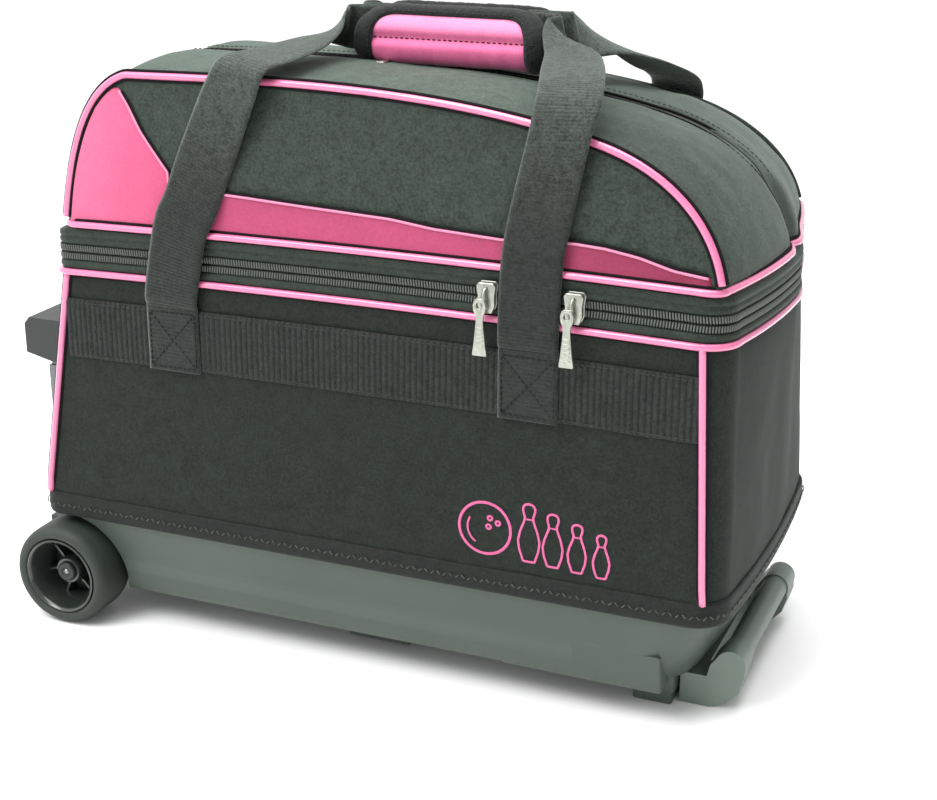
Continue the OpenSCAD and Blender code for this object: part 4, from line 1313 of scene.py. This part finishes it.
def turned(name, profile, sign, n=128):
    """Closed ring of revolution about the axle; profile is (radius, distance out along the axle)."""
    a = turn(n)
    verts = np.vstack([np.stack([HUB_X + r * np.cos(a), np.full(n, sign * y), WHEEL_R + r * np.sin(a)], 1)
                       for r, y in profile])
    return add_mesh(name, verts, grid_faces(len(profile), n, close_rows=True, close_columns=True))


def make_wheels():
    tyre_profile = [(27.2, 98), (29, 96.6), (31, 96.3), (33.4, 97.2), (35, 99.4), (35.8, 103), (36, 108),
                    (36, 122), (35.8, 127), (35, 130.6), (33.4, 132.9), (31, 133.8), (29, 133.4),
                    (27.8, 132.2), (27.2, 131)]
    rim_profile = [(27.2, 98), (27.2, 131.2), (26.8, 132.8), (25.8, 133.2), (25.0, 132.6), (24.2, 130.6),
                   (21.8, 123), (20.4, 118.5), (19.8, 112), (20.4, 104), (24, 98)]
    boss_profile = [(4.2, 98), (4.2, 121), (5.4, 122.6), (8.8, 122.6), (9.6, 121.6), (9.9, 118),
                    (10.4, 110), (10.4, 98)]
    cap_profile = [(2.6, 122.9), (2.6, 124.8), (3.2, 125.6), (5.4, 125.8), (6.6, 125.2), (7.1, 124),
                   (7.1, 122.9)]
    web_profile = [(9, 105), (9, 107.5), (21, 107.5), (21, 105)]
    for sign, name in ((-1, "front"), (1, "back")):
        tyre = turned(f"{name}_tyre_rubber", tyre_profile, sign)
        place(tyre, "tyre", "tyre", f"{name}_wheel", f"wheel_tyre_{name}")
        parts = [turned(f"{name}_rim", rim_profile, sign), turned(f"{name}_boss", boss_profile, sign)]
        for k in range(6):
            parts.append(spoke(f"{name}_spoke_{k}", math.radians(12 + 60 * k), sign))
        hub = join(f"{name}_hub_moulding", parts)
        smooth_by_angle(hub, 38)
        place(hub, "hub_plastic", "hub_plastic", f"{name}_wheel", f"wheel_hub_{name}")
        web = turned(f"{name}_web_disc", web_profile, sign)
        place(web, "tyre", "hub_plastic", f"{name}_wheel")
    caps, bolts = [], []
    for sign in (-1, 1):
        caps.append(turned(f"cap_{sign}", cap_profile, sign, 48))
        bolts.append(cylinder_y(f"bolt_{sign}", HUB_X, WHEEL_R, 2.6, sign * 121, sign * 125.3, 6))
    place(join("axle_cap_mouldings", caps), "dark_plastic", "base_plastic", "base", "axle_caps")
    axle = cylinder_y("axle_rod", HUB_X, WHEEL_R, 4.0, -122.8, 122.8, 48)
    place(join("axle_and_bolts", bolts + [axle]), "steel", "steel", "base", "wheel_axle")


def spoke(name, angle, sign):
    """Thin radial rib of the hub."""
    obj = rounded_box(name, (9.5, 106, -1.1), (21.2, 117, 1.1), 0.6, 2)
    for v in obj.data.vertices:
        x, z = v.co.x, v.co.z
        v.co = (x * math.cos(angle) - z * math.sin(angle) + HUB_X * MM, sign * v.co.y,
                x * math.sin(angle) + z * math.cos(angle) + WHEEL_R * MM)
    return obj


# ---- zip sliders
def slider_piece(name, x):
    """Slider body: waisted top plate, bridge for the tab, and a back plate."""
    z = ZIP_Z + ZIP_LIFT * share_of_lift(x)
    plate = [(-6.2, 8), (-4.6, 10), (4.6, 10), (6.2, 8), (5.2, 2), (5.4, -4), (3.6, -8.6), (-3.6, -8.6),
             (-5.4, -4), (-5.2, 2)]
    front = prism(name + "_plate", [(x + a, z + b) for a, b in plate], -126.2, -124.0, 0.7)
    back = prism(name + "_back", [(x + a, z + b) for a, b in plate], -121.2, -119.8, 0.5)
    post = rounded_box(name + "_post", (x - 1.6, -124.5, z + 3), (x + 1.6, -120.5, z + 7.5), 0.4)
    loop = ((-125.6, 7), (-128.2, 5.5), (-129.6, 1), (-128.6, -4), (-125.6, -5.5))
    path = catmull([(x, y, z + up) for y, up in loop], 8)
    bridge = tube(name + "_bridge", path, 1.35, False, (1, 0, 0), 10, 0)
    return join(name, [front, back, post, bridge])


def pull_piece(name, x):
    """Tab: an eye round the bridge, a waist, and a flared blade with raised ridges."""
    z = ZIP_Z + ZIP_LIFT * share_of_lift(x)
    half = [(1.6, 1.6), (3.3, 0.6), (4.2, -2.5), (3.8, -6), (2.5, -9), (2.3, -13), (3.0, -20), (3.9, -28),
            (4.6, -32.5), (4.2, -33.6)]
    outline = [(x + a, z + b) for a, b in half] + [(x - a, z + b) for a, b in half[::-1]]
    blade = prism(name + "_blade", outline, -131.6, -129.9, 0.55)
    eye = cylinder_y(name + "_eye", x, z - 2.6, 1.9, -133, -128, 24)
    cut(blade, eye)
    pieces = [blade]
    for k in range(6):
        half_width, low = 2.2 + 0.12 * k, z - 17 - 2.6 * k
        pieces.append(rounded_box(f"{name}_ridge_{k}", (x - half_width, -132.2, low),
                                  (x + half_width, -131.2, low + 1.2), 0.35, 2))
    return join(name, pieces)


def box_mm(node):
    """Low and high corner of a node of the model, in mm."""
    return [np.array(corner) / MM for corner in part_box(node)]


def make_sliders():
    for side, x in SLIDER_X.items():
        slider = slider_piece(f"{side}_slider_body", x)
        place(slider, "nickel", "nickel", f"{side}_zip_slider", f"{side}_slider")
        tab = pull_piece(f"{side}_pull_tab", x - PULL_OFFSET)
        place(tab, "nickel", "nickel", f"{side}_zip_tab", f"{side}_pull")
    low, high = box_mm("top_slider")
    body = rounded_box("top_slider_body", low, high - [0, 0, 0.6], 1.2)
    place(body, "nickel", "nickel", "top_zip_slider", "top_slider")
    (x0, y0, z0), (x1, y1, z1) = box_mm("top_pull")
    outline = [(x0 + 1.5, y1), (x1 - 1.5, y1), (x1 - 1.8, y1 - 9), (x1, y0 + 2),
               (x1 - 1, y0), (x0 + 1, y0), (x0, y0 + 2), (x0 + 1.8, y1 - 9)]
    tab = sweep("top_pull_tab", [at_height(outline, z) for z in (z0, z1)], closed=False)
    round_edges(tab, 0.4, 2)
    place(tab, "nickel", "nickel", "top_zip_slider", "top_pull")


# ---- embroidered badge
def circle_path(x, z, r, n=60):
    a = np.linspace(0, 2 * math.pi, n)
    return np.stack([x + r * np.cos(a), z + r * np.sin(a)], 1)


def pin_path(x, z, height):
    """Outline of a bowling pin standing at (x, z)."""
    half = np.array([(0.0, 1.0), (0.07, 0.985), (0.105, 0.93), (0.1, 0.86), (0.07, 0.77), (0.085, 0.69),
                     (0.15, 0.52), (0.185, 0.36), (0.165, 0.2), (0.11, 0.04), (0.1, 0.0)]) * height
    points = np.vstack([half, (half * [-1, 1])[::-1]])
    return resample(np.vstack([points, points[:1]]) + [x, z], 80)


def satin(path, width, pitch=0.62):
    """Threads laid across a drawn line."""
    path = resample(path, max(int(length(path) / pitch), 4))
    tangent = unit(np.gradient(path, axis=0))
    side = np.stack([-tangent[:, 1], tangent[:, 0]], 1) * width / 2 + tangent * 0.3
    return path - side, path + side


def make_badge():
    """A plain ball with three finger holes, and four pins."""
    x, z = 104, 121
    lines = [(circle_path(x, z, 17), 1.9)]
    lines += [(circle_path(x + dx, z + dz, 1.5, 12), 1.5) for dx, dz in ((3.4, 7.2), (8.6, 4.6), (2.4, 1.4))]
    lines += [(arc(x, z, 11.5, 150, 235, 20), 1.3)]
    for k, x in enumerate((133, 148.5, 164, 179.5)):
        height, foot = 38 - 3.2 * k, 103.5 - 1.0 * k
        lines.append((pin_path(x, foot, height), 1.5))
        collar = np.array([[x - 0.075 * height, 0.735 * height], [x + 0.075 * height, 0.735 * height]])
        lines.append((collar + [0, foot], 1.2))
    starts, ends = [], []
    for path, width in lines:
        a, b = satin(path, width)
        starts.append(a)
        ends.append(b)
    starts, ends = np.vstack(starts), np.vstack(ends)
    p0, p1 = [front_face(ends_of[:, 0], ends_of[:, 1], 0.25) for ends_of in (starts, ends)]
    badge = threads("front_badge_threads", p0, p1, 0.36, 5)
    place(badge, "pink_thread", "embroidery", "base", "front_emblem")


# ---- inside
def cup_piece(name, x, node):
    """Foam cup covered in knitted cloth."""
    profile = [(30, 43.5), (30, 46), (34, 48.6), (46, 53.5), (60, 60.5), (68, 64.2), (73, 64.8),
               (77, 62.5), (78, 58), (78, 47), (76, 43.5)]
    verts = [[x + r * math.cos(t), r * math.sin(t), z] for r, z in profile for t in turn(96)]
    obj = add_mesh(name, verts, grid_faces(len(profile), 96, close_rows=True, close_columns=True))
    add_modifier(obj, "SUBSURF", levels=1, render_levels=1)
    place(obj, "padding", "padding", "base", node)


def pad_slab(name, outline, z0, z1, crown, body, node, material="padding"):
    """Flat pad with rolled edges and a slightly crowned top."""
    outline = resample(outline, 160, closed=True)
    centre = outline.mean(0)
    profile = ((0.0, z0), (0.97, z0), (0.99, lerp(z0, z1, 0.2)), (1.0, lerp(z0, z1, 0.5)),
               (0.99, lerp(z0, z1, 0.85)), (0.97, z1), (0.85, z1 + crown * 0.5), (0.5, z1 + crown),
               (0.0, z1 + crown))
    rings = [at_height(lerp(centre, outline, max(share, 0.002)), z) for share, z in profile]
    obj = sweep(name, rings, closed=False)
    place(obj, material, "padding", body, node)


def make_inside():
    for side, x in (("left", -98), ("right", 130)):
        cup_piece(f"ball_cup_{side}_foam", x, f"ball_cup_{side}")
    board = plan(-160, 222, 99, 10, 40, 1, 1)
    pad_slab("base_board_pad", board, 39.6, 42.8, 0.4, "base", "base_board")
    pad_slab("lid_floor_pad", lid_outline(7), 275.8, 277.6, 0.8, "lid", "lid_floor", "lining")
    half = [(104, 43.4), (109, 54), (112, 86), (114, 150), (110, 160), (100, 163)]
    outline = [(-104, 43.4)] + half + [(-x, z) for x, z in half[:0:-1]]
    divider = prism("ball_divider_pad", outline, 0, 8)
    for v in divider.data.vertices:
        v.co = (v.co.y + 16 * MM, v.co.x, v.co.z)
    bm = bmesh.new()
    bm.from_mesh(divider.data)
    bmesh.ops.recalc_face_normals(bm, faces=bm.faces)
    bm.to_mesh(divider.data)
    bm.free()
    round_edges(divider, 3, 4)
    place(divider, "padding", "padding", "base", "ball_divider")


# ---- parts kept from the model
def finish_kept_nodes():
    """The rigid nodes keep their shape; they get their finish and a small edge radius."""
    # the grab bar's plastic is painted paler, as painted reflection
    kept = {"grab_bar": ("bar_plastic_painted_reflection", 1.6), "grab_bar_screws": ("steel", 0.3),
            "centre_skid": ("dark_plastic", 2.0), "handle_bracket": ("dark_plastic", 1.5),
            "handle_outer_tubes": ("aluminium", 0.35)}
    kept.update({f"handle_stage_{k}": ("aluminium", 0.35) for k in (1, 2, 3, 4)})
    kept.update({"handle_grip": ("dark_plastic", 3.0), "handle_button": ("dark_plastic", 1.2)})
    for node, (material, radius) in kept.items():
        paint(NODES[node], material)
        round_edges(NODES[node], radius, 3, 35, harden_normals=False)


# ---- studio
def area_light(name, location, target, size, power):
    light = bpy.data.lights.new(name, "AREA")
    light.shape = "RECTANGLE"
    light.size, light.size_y = size
    light.energy = power
    obj = bpy.data.objects.new(name, light)
    obj.location = location
    obj.rotation_euler = (Vector(target) - Vector(location)).to_track_quat("-Z", "Y").to_euler()
    bpy.context.scene.collection.objects.link(obj)


def make_studio():
    corners = [[-1, -1, 0], [1, -1, 0], [1, 1, 0], [-1, 1, 0]]
    floor = add_mesh("studio_floor", 9000.0 * np.array(corners), [(0, 1, 2, 3)])
    s = Shader("studio_floor_paint")
    tone = s.colours(s.noise(2.0, 2), (0.3, (0.93, 0.93, 0.93, 1)), (0.7, (0.95, 0.95, 0.95, 1)))
    floor.data.materials.append(s.set(Base_Color=tone, Roughness=0.9))
    make_world()
    area_light("key_light", (-0.9, -1.6, 2.4), (0, 0, 0.2), (1.4, 1.4), 55)
    area_light("right_light", (2.2, -0.6, 1.6), (0, 0, 0.2), (1.2, 1.6), 3)
    area_light("top_light", (0.1, 0.0, 2.6), (0, 0, 0.2), (1.8, 1.8), 66)
    make_camera()
    bpy.context.scene.view_settings.view_transform = "Standard"


def make_world():
    """White surroundings, stronger on the left of the bag than on its right."""
    world = bpy.data.worlds.new("studio_world")
    bpy.context.scene.world = world
    world.use_nodes = True
    nodes, links = world.node_tree.nodes, world.node_tree.links
    nodes["Background"].inputs["Color"].default_value = WHITE
    split = nodes.new("ShaderNodeSeparateXYZ")
    links.new(nodes.new("ShaderNodeTexCoord").outputs["Generated"], split.inputs[0])
    spread = nodes.new("ShaderNodeMapRange")
    links.new(split.outputs["X"], spread.inputs[0])
    for socket, value in zip(spread.inputs[1:5], (-1.0, 1.0, 1.6, 0.3)):
        socket.default_value = value
    links.new(spread.outputs[0], nodes["Background"].inputs["Strength"])


def make_camera():
    """The camera at the place and angle that the picture was taken from."""
    camera = bpy.data.cameras.new("photo_camera")
    camera.lens = 64.75
    camera.sensor_width = 36
    camera.clip_start, camera.clip_end = 0.05, 60
    obj = bpy.data.objects.new("photo_camera", camera)
    obj.location = (0.46035, -1.00427, 0.54498)
    obj.rotation_euler = Vector((-0.36165, 0.86968, -0.33595)).to_track_quat("-Z", "Y").to_euler()
    bpy.context.scene.collection.objects.link(obj)
    bpy.context.scene.camera = obj


for make in (make_studio, make_body_sides, make_body_ends, make_pipings, make_main_zip, make_lid_sides,
             make_pink_patches, make_gusset, make_top_zip, make_bands, make_strap_ends,
             make_straps, make_sleeves, make_tray, make_binding, make_wheels,
             make_sliders, make_badge, make_inside, finish_kept_nodes):
    make()
